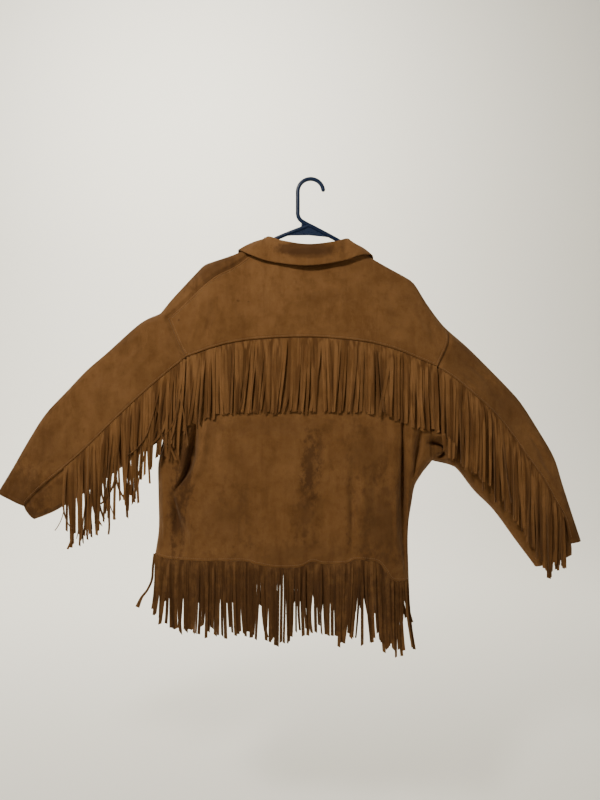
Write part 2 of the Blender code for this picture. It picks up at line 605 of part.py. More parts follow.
def web():
    """The flat plate that fills the corner between the arms."""
    half = WEB_THICKNESS / 2
    points = [(x, y, z) for y in (-half, half) for x, z in WEB]
    count = len(WEB)
    faces = [tuple(range(count)), tuple(reversed(range(count, 2 * count)))]
    faces += [(k, k + count, (k + 1) % count + count, (k + 1) % count) for k in range(count)]
    return make_object("hanger_web_shape", points, faces, hanger_plastic())


def hanger():
    """One moulding: a closed tube frame, its hook and the web between them."""
    frame = tube("hanger", frame_path(), closed=True)
    for shape in (tube("hanger_hook_shape", hook_path()), web()):
        shape.hide_render = True
        shape.display_type = "WIRE"
        join = frame.modifiers.new(shape.name, "BOOLEAN")
        join.operation = "UNION"
        join.solver = "EXACT"
        join.object = shape


def main():
    for old in list(bpy.data.objects):
        bpy.data.objects.remove(old)
    back_yoke()
    back_body()
    front("front_left", SHOULDER_LEFT, SHOULDER_SEAM_LEFT, FRONT_NECK_LEFT, ARMHOLE_FRONT_LEFT, SIDE_LEFT,
          HEM_FRONT_LEFT)
    front("front_right", SHOULDER_RIGHT, None, FRONT_NECK_RIGHT, ARMHOLE_FRONT_RIGHT, SIDE_RIGHT,
          HEM_FRONT_RIGHT)
    tip_to_corner = [TIP_LEFT, *[walk([YOKE_CORNER_LEFT, TIP_LEFT], share) for share in DOWN_WRAP[:0:-1]]]
    top_sleeve("top_sleeve_left", SLEEVE_TOP_LEFT, SLEEVE_SEAM_LEFT, SLEEVE_LOW_LEFT, tip_to_corner,
               ARMHOLE_YOKE_LEFT, ARMHOLE_FRONT_LEFT, CUFF_LEFT)
    top_sleeve("top_sleeve_right", SLEEVE_TOP_RIGHT, SLEEVE_SEAM_RIGHT, SLEEVE_LOW_RIGHT, [],
               ARMHOLE_YOKE_RIGHT, ARMHOLE_FRONT_RIGHT, CUFF_RIGHT)
    under_sleeve("under_sleeve_left", SLEEVE_SEAM_LEFT, SLEEVE_LOW_LEFT, ARMHOLE_LOW_LEFT, CUFF_LEFT)
    under_sleeve("under_sleeve_right", SLEEVE_SEAM_RIGHT, SLEEVE_LOW_RIGHT, ARMHOLE_LOW_RIGHT, CUFF_RIGHT)
    collar()
    fringes()
    loose_strand()
    hanger()


main()
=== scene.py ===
"""Looks of the fringed buckskin jacket on its hanger.

Lengths are in millimetres until a mesh is made, in the frame of the CAD model: +X to
the right of someone who looks at the jacket's back, +Y from back to front, +Z up, and
the origin at the inner top of the hook. The suede is two soft skins that close on the
outline of sleeves, shoulders and sides; every panel is a patch of them.
"""
import math

import bpy
import numpy as np
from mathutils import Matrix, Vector


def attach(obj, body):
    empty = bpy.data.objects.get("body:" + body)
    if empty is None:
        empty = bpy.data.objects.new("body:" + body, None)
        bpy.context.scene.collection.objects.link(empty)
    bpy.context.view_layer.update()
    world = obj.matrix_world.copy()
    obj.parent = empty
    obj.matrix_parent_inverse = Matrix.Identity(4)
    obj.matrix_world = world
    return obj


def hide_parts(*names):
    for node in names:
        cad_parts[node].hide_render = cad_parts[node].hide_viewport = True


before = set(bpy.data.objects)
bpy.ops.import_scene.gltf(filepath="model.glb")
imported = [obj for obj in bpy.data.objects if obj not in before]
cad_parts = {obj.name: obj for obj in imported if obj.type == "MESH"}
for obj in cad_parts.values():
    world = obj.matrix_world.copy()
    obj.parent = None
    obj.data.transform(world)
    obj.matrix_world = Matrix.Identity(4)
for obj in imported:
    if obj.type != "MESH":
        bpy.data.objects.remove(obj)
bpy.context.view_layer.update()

MM = 0.001
WALL = 1.8
SEAM_GAP = 0.3
RANDOM = np.random.RandomState(7)

# ------------------------------------------------------------------ outline (x, z)
NECK_LEFT = (-104, -127.5)
NECK_RIGHT = (92, -138.5)
TIP_LEFT = (-317, -278)
TIP_RIGHT = (283, -311)
ARMPIT_LEFT = (-311, -541)
ARMPIT_RIGHT = (253, -587)
HEM_LEFT = (-327, -779)
HEM_RIGHT = (204, -834)
SLEEVE_TOP_LEFT = [TIP_LEFT, (-359, -299), (-429, -361), (-470, -396), (-513, -441), (-557, -488),
                   (-592, -542), (-627, -603), (-658, -654)]
SLEEVE_TOP_RIGHT = [TIP_RIGHT, (323, -346), (356, -378), (412, -435), (439, -466), (472, -517),
                    (508, -579), (526, -635), (544, -691), (565, -755)]
SHOULDER_LEFT = [TIP_LEFT, (-294, -250), (-243, -195), (-226, -178), (-212, -171.5), (-180, -161),
                 (-150, -149.5), NECK_LEFT]
SHOULDER_RIGHT = [TIP_RIGHT, (263, -288), (239, -254), (218, -220), (203, -206), (160, -182),
                  (125, -161.5), NECK_RIGHT]
SLEEVE_LOW_LEFT = [ARMPIT_LEFT, (-379, -587), (-453, -640), (-528, -687), (-557, -701), (-581, -710)]
SLEEVE_LOW_RIGHT = [ARMPIT_RIGHT, (293, -597), (310, -610), (341, -650), (382, -691), (426, -751),
                    (462, -799), (469, -809)]
SIDE_LEFT = [ARMPIT_LEFT, (-321, -591), (-321, -650), (-320, -725), HEM_LEFT]
SIDE_RIGHT = [ARMPIT_RIGHT, (229, -617), (216, -640), (210, -672), (204, -709), (202, -740),
              (202, -774), HEM_RIGHT]

# ------------------------------------------------------------------ seams (x, z)
KNEE_LEFT = (-256, -373)              # yoke seam, armhole and sleeve fringe seam meet
KNEE_RIGHT = (256, -393)
YOKE_CORNER_LEFT = (-297, -291)
SHOULDER_SEAM_LEFT = [YOKE_CORNER_LEFT, (-261, -258), (-230, -229), (-198, -203), (-158, -181),
                      (-112, -146)]
BACK_NECK = [(-112, -146), (-84, -157), (-8, -168), (55, -164), (84, -155), NECK_RIGHT]
YOKE_SEAM = [KNEE_LEFT, (-187, -350), (-126, -338), (-45, -333), (17, -333), (78, -338),
             (129, -346), (180, -361), (221, -378), KNEE_RIGHT]
ARMHOLE_YOKE_LEFT = [YOKE_CORNER_LEFT, (-288, -310), (-270, -349), KNEE_LEFT]
ARMHOLE_YOKE_RIGHT = [TIP_RIGHT, (280, -345), KNEE_RIGHT]
ARMHOLE_LOW_LEFT = [KNEE_LEFT, (-262, -440), (-285, -505), ARMPIT_LEFT]
ARMHOLE_LOW_RIGHT = [KNEE_RIGHT, (249, -460), (247, -530), ARMPIT_RIGHT]
ARMHOLE_FRONT_LEFT = [TIP_LEFT, (-285, -345), (-277, -430), (-290, -500), ARMPIT_LEFT]
ARMHOLE_FRONT_RIGHT = [TIP_RIGHT, (268, -380), (258, -460), (250, -530), ARMPIT_RIGHT]
SLEEVE_SEAM_LEFT = [KNEE_LEFT, (-334, -439), (-405, -503), (-441, -538), (-508, -598),
                    (-571, -651), (-599, -681)]
SLEEVE_SEAM_RIGHT = [KNEE_RIGHT, (309, -431), (379, -493), (417, -539), (443, -577),
                     (476, -621), (500, -662), (525, -706), (538, -759)]
FRONT_NECK_LEFT = [NECK_LEFT, (-98, -165), (-72, -208), (-38, -232), (-8, -240)]
FRONT_NECK_RIGHT = [NECK_RIGHT, (86, -170), (58, -210), (24, -232), (-8, -240)]
CENTRE_FRONT = [(-8, -240), (-22, -420), (-42, -620), (-60, -790)]
HEM_BACK = [HEM_LEFT, (-285, -786), (-145, -787), (-115, -793), (-77, -799), (-26, -799), (1, -788),
            (22, -793), (71, -791), (88, -784), (130, -789), (148, -808), (165, -830), HEM_RIGHT]
CUFF_LEFT = [(-590, -698)]             # the under sleeve's cuff, between its ends
CUFF_RIGHT = [(539, -781), (520, -790)]
HEM_FRONT_LEFT = [HEM_LEFT, (-200, -777), (-60, -790)]
HEM_FRONT_RIGHT = [HEM_RIGHT, (80, -806), (-60, -790)]

# ------------------------------------------------- how far the skins stand off y = 0
BODY_DEPTH = [(-850, 58, 32), (-700, 56, 31), (-500, 51, 29), (-340, 44, 28), (-250, 34, 26),
              (-180, 27, 23), (-120, 22, 21)]                       # height, back, front
SLEEVE_DEPTH = [(270, 34, 22, 0.0), (330, 32, 21, 0.25), (440, 29, 19, 1.0), (560, 25, 16, 1.0),
                (700, 22, 14, 1.0)]                                 # reach, back, front, share
BODY_MIDDLE_X = -18
EDGE_ROLL = 16
EDGE_SLOPE = 110
ROLL_SHARE = 0.45
LEAST_DEPTH = 4.5

# creases: points (x, z), height (a trough is negative), half width
BACK_CREASES = [
    # yoke
    ([(-222, -232), (-236, -290), (-250, -350)], 4.5, 9),
    ([(-198, -250), (-210, -300), (-220, -345)], -6, 12),
    ([(-170, -235), (-158, -300), (-160, -338)], 1.8, 16),
    ([(-268, -290), (-262, -330)], -2.5, 9),
    ([(150, -225), (172, -280), (168, -350)], -2.5, 17),
    ([(205, -250), (222, -310), (228, -365)], 2.5, 13),
    ([(240, -300), (262, -350)], -3, 10),
    ([(-60, -205), (20, -214), (90, -200)], -1.5, 14),
    # left of the lower back: deep slit under the arm, the roll beside it, the gusset
    ([(-234, -470), (-242, -550), (-254, -605), (-288, -655)], -27, 6.5),
    ([(-212, -490), (-224, -570), (-250, -645)], 10, 10),
    ([(-282, -548), (-262, -572), (-264, -600), (-278, -636)], 5, 6),
    ([(-290, -640), (-277, -700), (-268, -778)], -16, 13),
    ([(-307, -600), (-303, -700), (-306, -768)], 5, 7),
    ([(-256, -640), (-246, -700), (-244, -775)], 5, 10),
    ([(-252, -650), (-240, -720), (-236, -780)], 3, 12),
    ([(-205, -520), (-160, -600), (-130, -690)], 2.2, 20),
    ([(-190, -640), (-184, -700), (-196, -770)], -2.2, 12),
    # right of the lower back: the long dark fold and the strip beyond it
    ([(184, -440), (185, -520), (187, -640), (190, -740), (193, -828)], -22, 5.5),
    ([(166, -480), (170, -640), (175, -800)], 6, 10),
    ([(221, -505), (219, -545), (213, -590), (209, -625)], -14, 4.5),
    ([(203, -470), (203, -560), (199, -640)], 4, 7),
    ([(224, -528), (258, -530), (284, -546), (291, -568), (274, -586)], 20, 7),
    ([(234, -546), (256, -549), (272, -558), (273, -573), (252, -582)], -24, 5),
    ([(258, -512), (292, -532), (306, -560), (298, -588)], -11, 6),
    # long soft troughs down the lower back
    ([(86, -560), (84, -640), (79, -770)], -7, 9),
    ([(104, -575), (102, -680), (98, -760)], 3, 10),
    ([(-62, -520), (-74, -620), (-70, -760)], -2.5, 17),
    ([(20, -560), (10, -680), (18, -780)], 2, 20),
    ([(136, -560), (128, -650), (134, -740)], -3, 11),
    ([(-120, -560), (-116, -680), (-122, -770)], 2, 15),
    # left sleeve
    ([(-330, -330), (-400, -385), (-470, -440)], -4, 11),
    ([(-310, -350), (-375, -410), (-430, -460)], 3.5, 10),
    ([(-470, -455), (-530, -530), (-575, -600)], -3, 11),
    ([(-500, -560), (-560, -600), (-600, -655)], 2.5, 10),
    ([(-345, -320), (-395, -350)], 3, 8),
    ([(-600, -600), (-625, -640)], -2.5, 9),
    # right sleeve
    ([(300, -365), (360, -415), (410, -470)], -4, 11),
    ([(290, -395), (345, -440), (400, -490)], 2.5, 9),
    ([(430, -500), (478, -570), (512, -650)], -4, 10),
    ([(455, -560), (500, -630), (530, -700)], 3, 9),
    ([(515, -690), (538, -745)], -3, 8),
    ([(400, -690), (440, -740)], -3, 9),
    ([(330, -600), (370, -640)], 4, 8)]
FRONT_CREASES = [
    ([(-225, -330), (-205, -470), (-190, -640)], -6, 15),
    ([(-180, -300), (-165, -420), (-150, -520)], 3, 13),
    ([(-262, -540), (-250, -640), (-258, -740)], 5, 13),
    ([(-120, -600), (-110, -680), (-116, -770)], -4, 14),
    ([(150, -340), (138, -500), (120, -690)], -7, 16),
    ([(190, -420), (176, -560), (170, -700)], 4, 12),
    ([(60, -420), (48, -520), (40, -620)], 4, 15),
    ([(20, -600), (26, -700), (20, -790)], -3, 14),
    ([(-60, -330), (-80, -420), (-84, -520)], -3, 16),
    ([(-350, -360), (-430, -430), (-500, -520)], -4, 11),
    ([(-400, -480), (-470, -560), (-530, -640)], 3.5, 11),
    ([(310, -420), (370, -500), (430, -590)], -4, 12),
    ([(420, -520), (470, -620), (510, -720)], 3.5, 10)]


# ------------------------------------------------------------------ curves
def spline(points, steps=6):
    """A smooth run of points through the given ones."""
    knots = np.array(points, float)
    knots = np.vstack([2 * knots[0] - knots[1], knots, 2 * knots[-1] - knots[-2]])
    t = (np.arange(steps) / steps)[:, None]
    out = []
    for a, b, c, d in zip(knots, knots[1:], knots[2:], knots[3:]):
        out.append(b + t / 2 * (c - a + t * (2 * a - 5 * b + 4 * c - d + t * (3 * (b - c) + d - a))))
    return np.vstack([*out, knots[-2:-1]])


def walk(run, shares):
    """Points at shares of a run's length."""
    run = np.asarray(run, float)
    gone = np.concatenate([[0], np.cumsum(np.linalg.norm(np.diff(run, axis=0), axis=1))])
    wanted = np.asarray(shares) * gone[-1]
    return np.stack([np.interp(wanted, gone, run[:, k]) for k in range(run.shape[1])], 1)


def beside(places, gap):
    """A run of places moved square to itself; a positive gap is to its left."""
    along = np.gradient(places, axis=0)
    along /= np.linalg.norm(along, axis=1)[:, None]
    return places + gap * np.stack([-along[:, 1], along[:, 0]], 1)


def length_of(run):
    return float(np.linalg.norm(np.diff(np.asarray(run, float), axis=0), axis=1).sum())


def eased(count, ends=0.75):
    """Shares from 0 to 1 that lie closer together at both ends."""
    u = np.linspace(0, 1, count)
    return u - ends * np.sin(2 * np.pi * u) / (2 * np.pi)


def table_at(rows, values, column):
    rows = np.array(rows, float)
    return np.interp(values, rows[:, 0], rows[:, column])


RIDGE = SLEEVE_TOP_LEFT[::-1] + SHOULDER_LEFT[1:] + SHOULDER_RIGHT[::-1][:-1] + SLEEVE_TOP_RIGHT
OUTLINE = [(spline(RIDGE), 1),
           (spline(SLEEVE_LOW_LEFT[::-1] + SIDE_LEFT[1:]), -1),
           (spline(SLEEVE_LOW_RIGHT[::-1] + SIDE_RIGHT[1:]), 1)]      # inside to the right, or the left


def nearest(x, z, run):
    """Distance to a run, and which side of it a place is on."""
    best = np.full(x.shape, 1e9)
    side = np.zeros(x.shape)
    for (ax, az), (bx, bz) in zip(run, run[1:]):
        sx, sz = bx - ax, bz - az
        share = np.clip(((x - ax) * sx + (z - az) * sz) / (sx * sx + sz * sz), 0, 1)
        dx, dz = x - ax - share * sx, z - az - share * sz
        gap = np.hypot(dx, dz)
        closer = gap < best
        best = np.where(closer, gap, best)
        side = np.where(closer, np.sign(dx * sz - dz * sx), side)
    return best, side


def inside_outline(x, z):
    """How far inside the outline each place is."""
    gaps = []
    for run, hand in OUTLINE:
        gap, side = nearest(x, z, run)
        gaps.append(np.where(side * hand >= 0, gap, -gap))
    gaps = np.array(gaps)
    pick = np.abs(gaps).argmin(0)
    return np.take_along_axis(gaps, pick[None], 0)[0]


# ------------------------------------------------------------------ the two skins
def crease_height(x, z, creases):
    """Heights of soft troughs and ridges that run along curves and fade at their ends."""
    total = np.zeros(x.shape)
    for points, height, width in creases:
        run = spline(points, 4)
        reach = length_of(run)
        best = np.full(x.shape, 1e9)
        at = np.zeros(x.shape)
        gone = 0
        for (ax, az), (bx, bz) in zip(run, run[1:]):
            sx, sz = bx - ax, bz - az
            span = math.hypot(sx, sz)
            share = np.clip(((x - ax) * sx + (z - az) * sz) / span ** 2, 0, 1)
            gap = np.hypot(x - ax - share * sx, z - az - share * sz)
            closer = gap < best
            best = np.where(closer, gap, best)
            at = np.where(closer, (gone + share * span) / reach, at)
            gone += span
        fade = np.clip(np.sin(np.pi * np.clip(at, 0, 1)), 0, 1) 
        wide = width * (0.8 + 0.4 * np.sin(7 * at + height))
        total += height * fade * np.exp(-(best / wide) ** 2)
    return total


def ripple(x, z):
    """Uneven, low swells of hide that never lies quite flat."""
    total = np.zeros(x.shape)
    for wave, lean, start, height in ((150, .3, .4, 1.3), (95, 1.2, 2.1, .9), (70, 2.3, 4.0, .55),
                                      (120, 2.9, 1.0, 1.0), (44, .8, 3.0, .3), (36, 1.9, 5.0, .25)):
        total += height * np.sin(2 * np.pi * (x * math.cos(lean) + z * math.sin(lean)) / wave + start
                                 + 0.8 * np.sin(z / wave * 2 + start))
    return total


LIP_HEIGHT = 0.9            # the upper of two pieces at a seam stands this proud
LIP_REACH = 8.0
GROOVE_DEPTH = 1.0          # pulled in by the stitches
GROOVE_WIDTH = 1.5
TUCK_DEPTH = 3.6            # the lower of two pieces dips and runs on under the upper one
TUCK_REACH = 6.0
TUCK_UNDER = 3.0
PINCH_DEPTH = 2.4           # the upper one rolls down into the seam itself
PINCH_WIDTH = 1.7


def lip(x, z, seam, grooves):
    """What a seam adds: a proud edge with stitch grooves, or a dip where there are none."""
    gap = nearest(x, z, spline(seam, 4))[0]
    if not grooves:
        return -TUCK_DEPTH * np.exp(-(gap / TUCK_REACH) ** 4)
    total = LIP_HEIGHT * np.exp(-(gap / LIP_REACH) ** 4) - PINCH_DEPTH * np.exp(-(gap / PINCH_WIDTH) ** 2)
    for groove in grooves:
        total -= GROOVE_DEPTH * np.exp(-((gap - groove) / GROOVE_WIDTH) ** 2)
    return total


def depth(x, z, front, seams=()):
    """How far the outer skin stands off the middle plane."""
    away = np.maximum(inside_outline(x, z), 0)
    roll = np.sqrt(1 - (1 - np.minimum(away / EDGE_ROLL, 1)) ** 2)
    swell = np.sin(np.pi / 2 * np.minimum(away / EDGE_SLOPE, 1))
    body = table_at(BODY_DEPTH, z, 1 + front)
    reach = np.abs(x - BODY_MIDDLE_X)
    share = table_at(SLEEVE_DEPTH, reach, 3)
    full = body + (table_at(SLEEVE_DEPTH, reach, 1 + front) - body) * share
    plain = full * (ROLL_SHARE * roll + (1 - ROLL_SHARE) * swell)
    folds = crease_height(x, z, FRONT_CREASES if front else BACK_CREASES) + ripple(x + 400 * front, z)
    for seam, grooves in seams:
        folds += lip(x, z, seam, grooves)
    return np.maximum(plain + folds * roll ** 2, np.minimum(plain, LEAST_DEPTH))


def skin(places, side, seams=()):
    """Points of the outer skin; the side is -1 behind, 1 in front, 0 on a rolled ridge."""
    places = np.asarray(places, float)
    x, z = places[..., 0], places[..., 1]
    off = side * (SEAM_GAP / 2 + depth(x, z, int(side > 0), seams)) if side else np.zeros(x.shape)
    return np.stack([x, off, z], -1)


# ------------------------------------------------------------------ meshes
def mesh_object(name, points, faces, surface):
    mesh = bpy.data.meshes.new(name)
    mesh.from_pydata((np.asarray(points).reshape(-1, 3) * MM).tolist(), [], faces)
    mesh.materials.append(surface)
    mesh.shade_smooth()
    mesh.update()
    made = bpy.data.objects.new(name, mesh)
    bpy.context.scene.collection.objects.link(made)
    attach(made, "root")
    return made


def grid_faces(rows, columns, start=0, flip=False):
    faces = []
    for r in range(rows - 1):
        for c in range(columns - 1):
            a = start + r * columns + c
            quad = (a, a + 1, a + columns + 1, a + columns)
            faces.append(quad[::-1] if flip else quad)
    return faces


def sheet_object(name, grid, surface, outward=-1, wall=WALL):
    """A thin wall whose outer face is the grid; outward is the y sign of its middle."""
    grid = np.asarray(grid)
    rows, columns = grid.shape[:2]
    r, c = rows // 3, columns // 2
    normal = np.cross(grid[r, c + 1] - grid[r, c], grid[r + 1, c] - grid[r, c])
    flip = normal[1] * outward < 0
    made = mesh_object(name, grid, grid_faces(rows, columns, 0, flip), surface)
    thick = made.modifiers.new("wall", "SOLIDIFY")
    thick.thickness = wall * MM
    thick.offset = -1
    thick.use_even_offset = False
    return made


def patch(top, bottom, left, right):
    """Places between four edges, blended from all of them."""
    def shares(points):
        gone = np.concatenate([[0], np.cumsum(np.linalg.norm(np.diff(points, axis=0), axis=1))])
        return gone / gone[-1]
    u = ((shares(top) + shares(bottom)) / 2)[None, :, None]
    v = ((shares(left) + shares(right)) / 2)[:, None, None]
    return ((1 - v) * top[None] + v * bottom[None] + (1 - u) * left[:, None] + u * right[:, None]
            - (1 - u) * (1 - v) * top[0] - u * (1 - v) * top[-1]
            - (1 - u) * v * bottom[0] - u * v * bottom[-1])


def edge(points, shares):
    return walk(spline(points), shares)


def joined_edge(parts, counts, ends=0.75):
    """One edge made of several runs that meet at corners."""
    out = []
    for index, (points, count) in enumerate(zip(parts, counts)):
        shares = eased(count, ends if len(parts) == 1 else 0.4)
        out.append(edge(points, shares[1 if index else 0:]))
    return np.vstack(out)


# ------------------------------------------------------------------ materials
def node(tree, kind, **values):
    made = tree.nodes.new(kind)
    for name, value in values.items():
        if name in made.inputs:
            made.inputs[name].default_value = value
        else:
            setattr(made, name, value)
    return made


def noise(tree, place, scale, detail, roughness=0.55, stretch=(1, 1, 1)):
    shift = node(tree, "ShaderNodeMapping")
    shift.inputs["Scale"].default_value = stretch
    tree.links.new(place, shift.inputs["Vector"])
    made = node(tree, "ShaderNodeTexNoise", Scale=scale, Detail=detail, Roughness=roughness)
    tree.links.new(shift.outputs["Vector"], made.inputs["Vector"])
    return made.outputs["Fac"]


def ranged(tree, value, low, high, to_low, to_high):
    made = node(tree, "ShaderNodeMapRange")
    for name, number in zip(("From Min", "From Max", "To Min", "To Max"), (low, high, to_low, to_high)):
        made.inputs[name].default_value = number
    tree.links.new(value, made.inputs["Value"])
    return made.outputs["Result"]


def mixed(tree, share, first, second, blend="MIX"):
    made = node(tree, "ShaderNodeMix", data_type="RGBA", blend_type=blend)
    tree.links.new(share, made.inputs["Factor"])
    for socket, value in ((made.inputs[6], first), (made.inputs[7], second)):
        if isinstance(value, tuple):
            socket.default_value = (*value, 1)
        else:
            tree.links.new(value, socket)
    return made.outputs[2]


def spot(tree, place, middle, reach, ragged, crisp):
    """1 at a place in millimetres and 0 beyond its reach along X and Z; crisp or with a ragged edge."""
    offset = node(tree, "ShaderNodeVectorMath", operation="SUBTRACT")
    offset.inputs[1].default_value = (middle[0] * MM, 0, middle[1] * MM)
    tree.links.new(place, offset.inputs[0])
    scaled = node(tree, "ShaderNodeVectorMath", operation="MULTIPLY")
    scaled.inputs[1].default_value = (1 / (reach[0] * MM), 0, 1 / (reach[1] * MM))
    tree.links.new(offset.outputs[0], scaled.inputs[0])
    size = node(tree, "ShaderNodeVectorMath", operation="LENGTH")
    tree.links.new(scaled.outputs[0], size.inputs[0])
    rough = node(tree, "ShaderNodeMath", operation="ADD")
    tree.links.new(size.outputs["Value"], rough.inputs[0])
    stray = 0.12 if crisp else 0.45
    tree.links.new(ranged(tree, ragged, 0.35, 0.65, -stray, stray), rough.inputs[1])
    return ranged(tree, rough.outputs[0], 0.68 if crisp else 0.3, 1.0, 1, 0)


def material(name):
    """A new material, its tree, its shader, and the place on the object that patterns follow."""
    made = bpy.data.materials.new(name)
    made.use_nodes = True
    tree = made.node_tree
    place = node(tree, "ShaderNodeTexCoord").outputs["Object"]
    return made, tree, tree.nodes["Principled BSDF"], place


SUEDE_LIGHT = (0.240, 0.112, 0.036)
SUEDE_MID = (0.172, 0.075, 0.020)
SUEDE_DARK = (0.090, 0.036, 0.008)
# dark brown for soil and wear, and for painted shade
SOIL_AND_SHADE = (0.045, 0.017, 0.004)
THREAD_DARK = (0.16, 0.08, 0.03)
THREAD_LIGHT = (0.30, 0.17, 0.075)
NAVY_DARK = (0.003, 0.010, 0.034)
NAVY_LIGHT = (0.005, 0.017, 0.052)

# dark places on the back, some soil and wear and some painted shade: middle (x, z), reach (x, z), strength
STAINS_AND_SHADE = [((-4, -600), (20, 85), .75), ((16, -560), (12, 50), .5), ((-12, -680), (30, 80), .45),
          # (-258, -600) and (-276, -705) are painted shade in the slit and the trough under the left arm
          ((76, -690), (9, 120), .34), ((-258, -600), (24, 95), .8), ((-276, -705), (19, 95), .8),
          ((-274, -296), (4, 4), .8),
          ((-152, -256), (3.5, 3.5), .6), ((-130, -258), (3, 3), .5), ((110, -570), (70, 80), .28),
          ((-170, -700), (70, 80), .28), ((150, -720), (80, 130), .42), ((-20, -770), (190, 34), .3),
          ((-60, -515), (200, 24), .2), ((30, -250), (60, 22), .15), ((-150, -600), (50, 90), .15)]
# dark places on sleeves and fronts: middle (x, z), reach (x, z), strength; those at the cuffs, (-600,
# -695), (-625, -660) and (540, -760), are painted shade where the sleeves turn away from the light
SLEEVE_STAINS_AND_SHADE = [((-600, -695), (70, 30), .45), ((-625, -660), (110, 80), .5),
                 ((-560, -560), (60, 50), .2), ((-400, -340), (50, 30), .2),
                 ((540, -760), (70, 120), .5), ((430, -470), (90, 60), .3), ((330, -360), (60, 50), .25),
                 ((-300, -560), (60, 60), .3), ((280, -570), (60, 40), .3), ((-200, -190), (110, 60), .5)]
# dark places on the strands: middle (x, z), reach (x, z), strength; the broad one over the hem fringe,
# (-60, -870), is painted shade
STRAND_STAINS_AND_SHADE = [((-60, -870), (400, 105), .62), ((-470, -680), (90, 90), .25),
                 ((500, -740), (90, 110), .3)]
COLLAR_SOIL = [((-14, -148), (74, 17), .72), ((-6, -158), (58, 13), .5)]


def suede(name, stains_and_shade=(), tint=1.0, strand=False, crisp=False):
    """Napped hide: blotches, a fine nap, cloudy worn patches, and dark places of soil, wear and painted
    shade.
    """
    made, tree, shader, place = material(name)
    light, mid, dark = (tuple(c * tint for c in colour) for colour in (SUEDE_LIGHT, SUEDE_MID, SUEDE_DARK))
    cloud = noise(tree, place, 7, 4, 0.6)
    blotch = noise(tree, place, 34, 5, 0.65)
    nap = noise(tree, place, 900, 3, 0.7)
    brushed = noise(tree, place, 60, 4, 0.6, (1, 1, 0.35))
    base = mixed(tree, ranged(tree, cloud, 0.35, 0.65, 0.1, 0.9), mid, light)
    base = mixed(tree, ranged(tree, blotch, 0.42, 0.70, 0, 0.46), base, dark)
    base = mixed(tree, ranged(tree, brushed, 0.5, 0.72, 0, 0.5), base, light)
    scuff = noise(tree, place, 42, 6, 0.75, (1.6, 1, 0.5))
    base = mixed(tree, ranged(tree, scuff, 0.58, 0.70, 0, 0.7), base, light)
    streak = noise(tree, place, 38, 4, 0.7, (1, 1, 0.13))
    base = mixed(tree, ranged(tree, streak, 0.52, 0.72, 0, 0.42), base, dark)
    grime = noise(tree, place, 75, 4, 0.7, (1, 1, 0.7))
    base = mixed(tree, ranged(tree, grime, 0.55, 0.75, 0, 0.38), base, dark)
    if strand:
        stripes = noise(tree, place, 95, 1, 0.5, (1, 1, 0.03))
        base = mixed(tree, ranged(tree, stripes, 0.40, 0.60, 0.88, 0), base, dark)
        glint = noise(tree, place, 130, 1, 0.5, (1, 1, 0.05))
        base = mixed(tree, ranged(tree, glint, 0.50, 0.62, 0, 0.75), base, light)
    # the listed dark places, soil and wear and painted shade, darken the colour towards a dark brown
    for middle, reach, strength in stains_and_shade:
        mark = spot(tree, place, middle, reach, grime, crisp)
        base = mixed(tree, ranged(tree, mark, 0, 1, 0, strength), base, SOIL_AND_SHADE)
    base = mixed(tree, ranged(tree, nap, 0.3, 0.7, 0, 0.35), base, dark)
    tree.links.new(base, shader.inputs["Base Color"])
    tree.links.new(ranged(tree, blotch, 0.3, 0.7, 0.82, 0.97), shader.inputs["Roughness"])
    shader.inputs["Specular IOR Level"].default_value = 0.18
    shader.inputs["Sheen Weight"].default_value = 0.16
    shader.inputs["Sheen Roughness"].default_value = 0.45
    shader.inputs["Sheen Tint"].default_value = (0.75, 0.5, 0.3, 1)
    fine = node(tree, "ShaderNodeBump", Strength=0.35, Distance=0.0006)
    tree.links.new(nap, fine.inputs["Height"])
    broad = node(tree, "ShaderNodeBump", Strength=0.36, Distance=0.0025)
    tree.links.new(blotch, broad.inputs["Height"])
    tree.links.new(fine.outputs["Normal"], broad.inputs["Normal"])
    tree.links.new(broad.outputs["Normal"], shader.inputs["Normal"])
    return made


def thread():
    made, tree, shader, place = material("thread")
    twist = noise(tree, place, 1500, 2)
    tree.links.new(mixed(tree, twist, THREAD_DARK, THREAD_LIGHT), shader.inputs["Base Color"])
    shader.inputs["Roughness"].default_value = 0.7
    return made


def navy_plastic():
    made, tree, shader, place = material("navy_plastic")
    cloud = noise(tree, place, 40, 3)
    navy = mixed(tree, cloud, NAVY_DARK, NAVY_LIGHT)
    tree.links.new(navy, shader.inputs["Base Color"])
    scuffs = noise(tree, place, 260, 4)
    tree.links.new(ranged(tree, scuffs, 0.35, 0.7, 0.26, 0.40), shader.inputs["Roughness"])
    shader.inputs["Specular IOR Level"].default_value = 0.3
    bump = node(tree, "ShaderNodeBump", Strength=0.08, Distance=0.0004)
    tree.links.new(scuffs, bump.inputs["Height"])
    tree.links.new(bump.outputs["Normal"], shader.inputs["Normal"])
    return made


# ------------------------------------------------------------------ panels
YOKE_COLUMNS = (46, 70, 46)
YOKE_ROWS = 76
BODY_COLUMNS = 190
ARMHOLE_ROWS = 60
SIDE_ROWS = 90
SLEEVE_STATIONS = 110
SLEEVE_ROWS = 52
FRONT_COLUMNS = 80
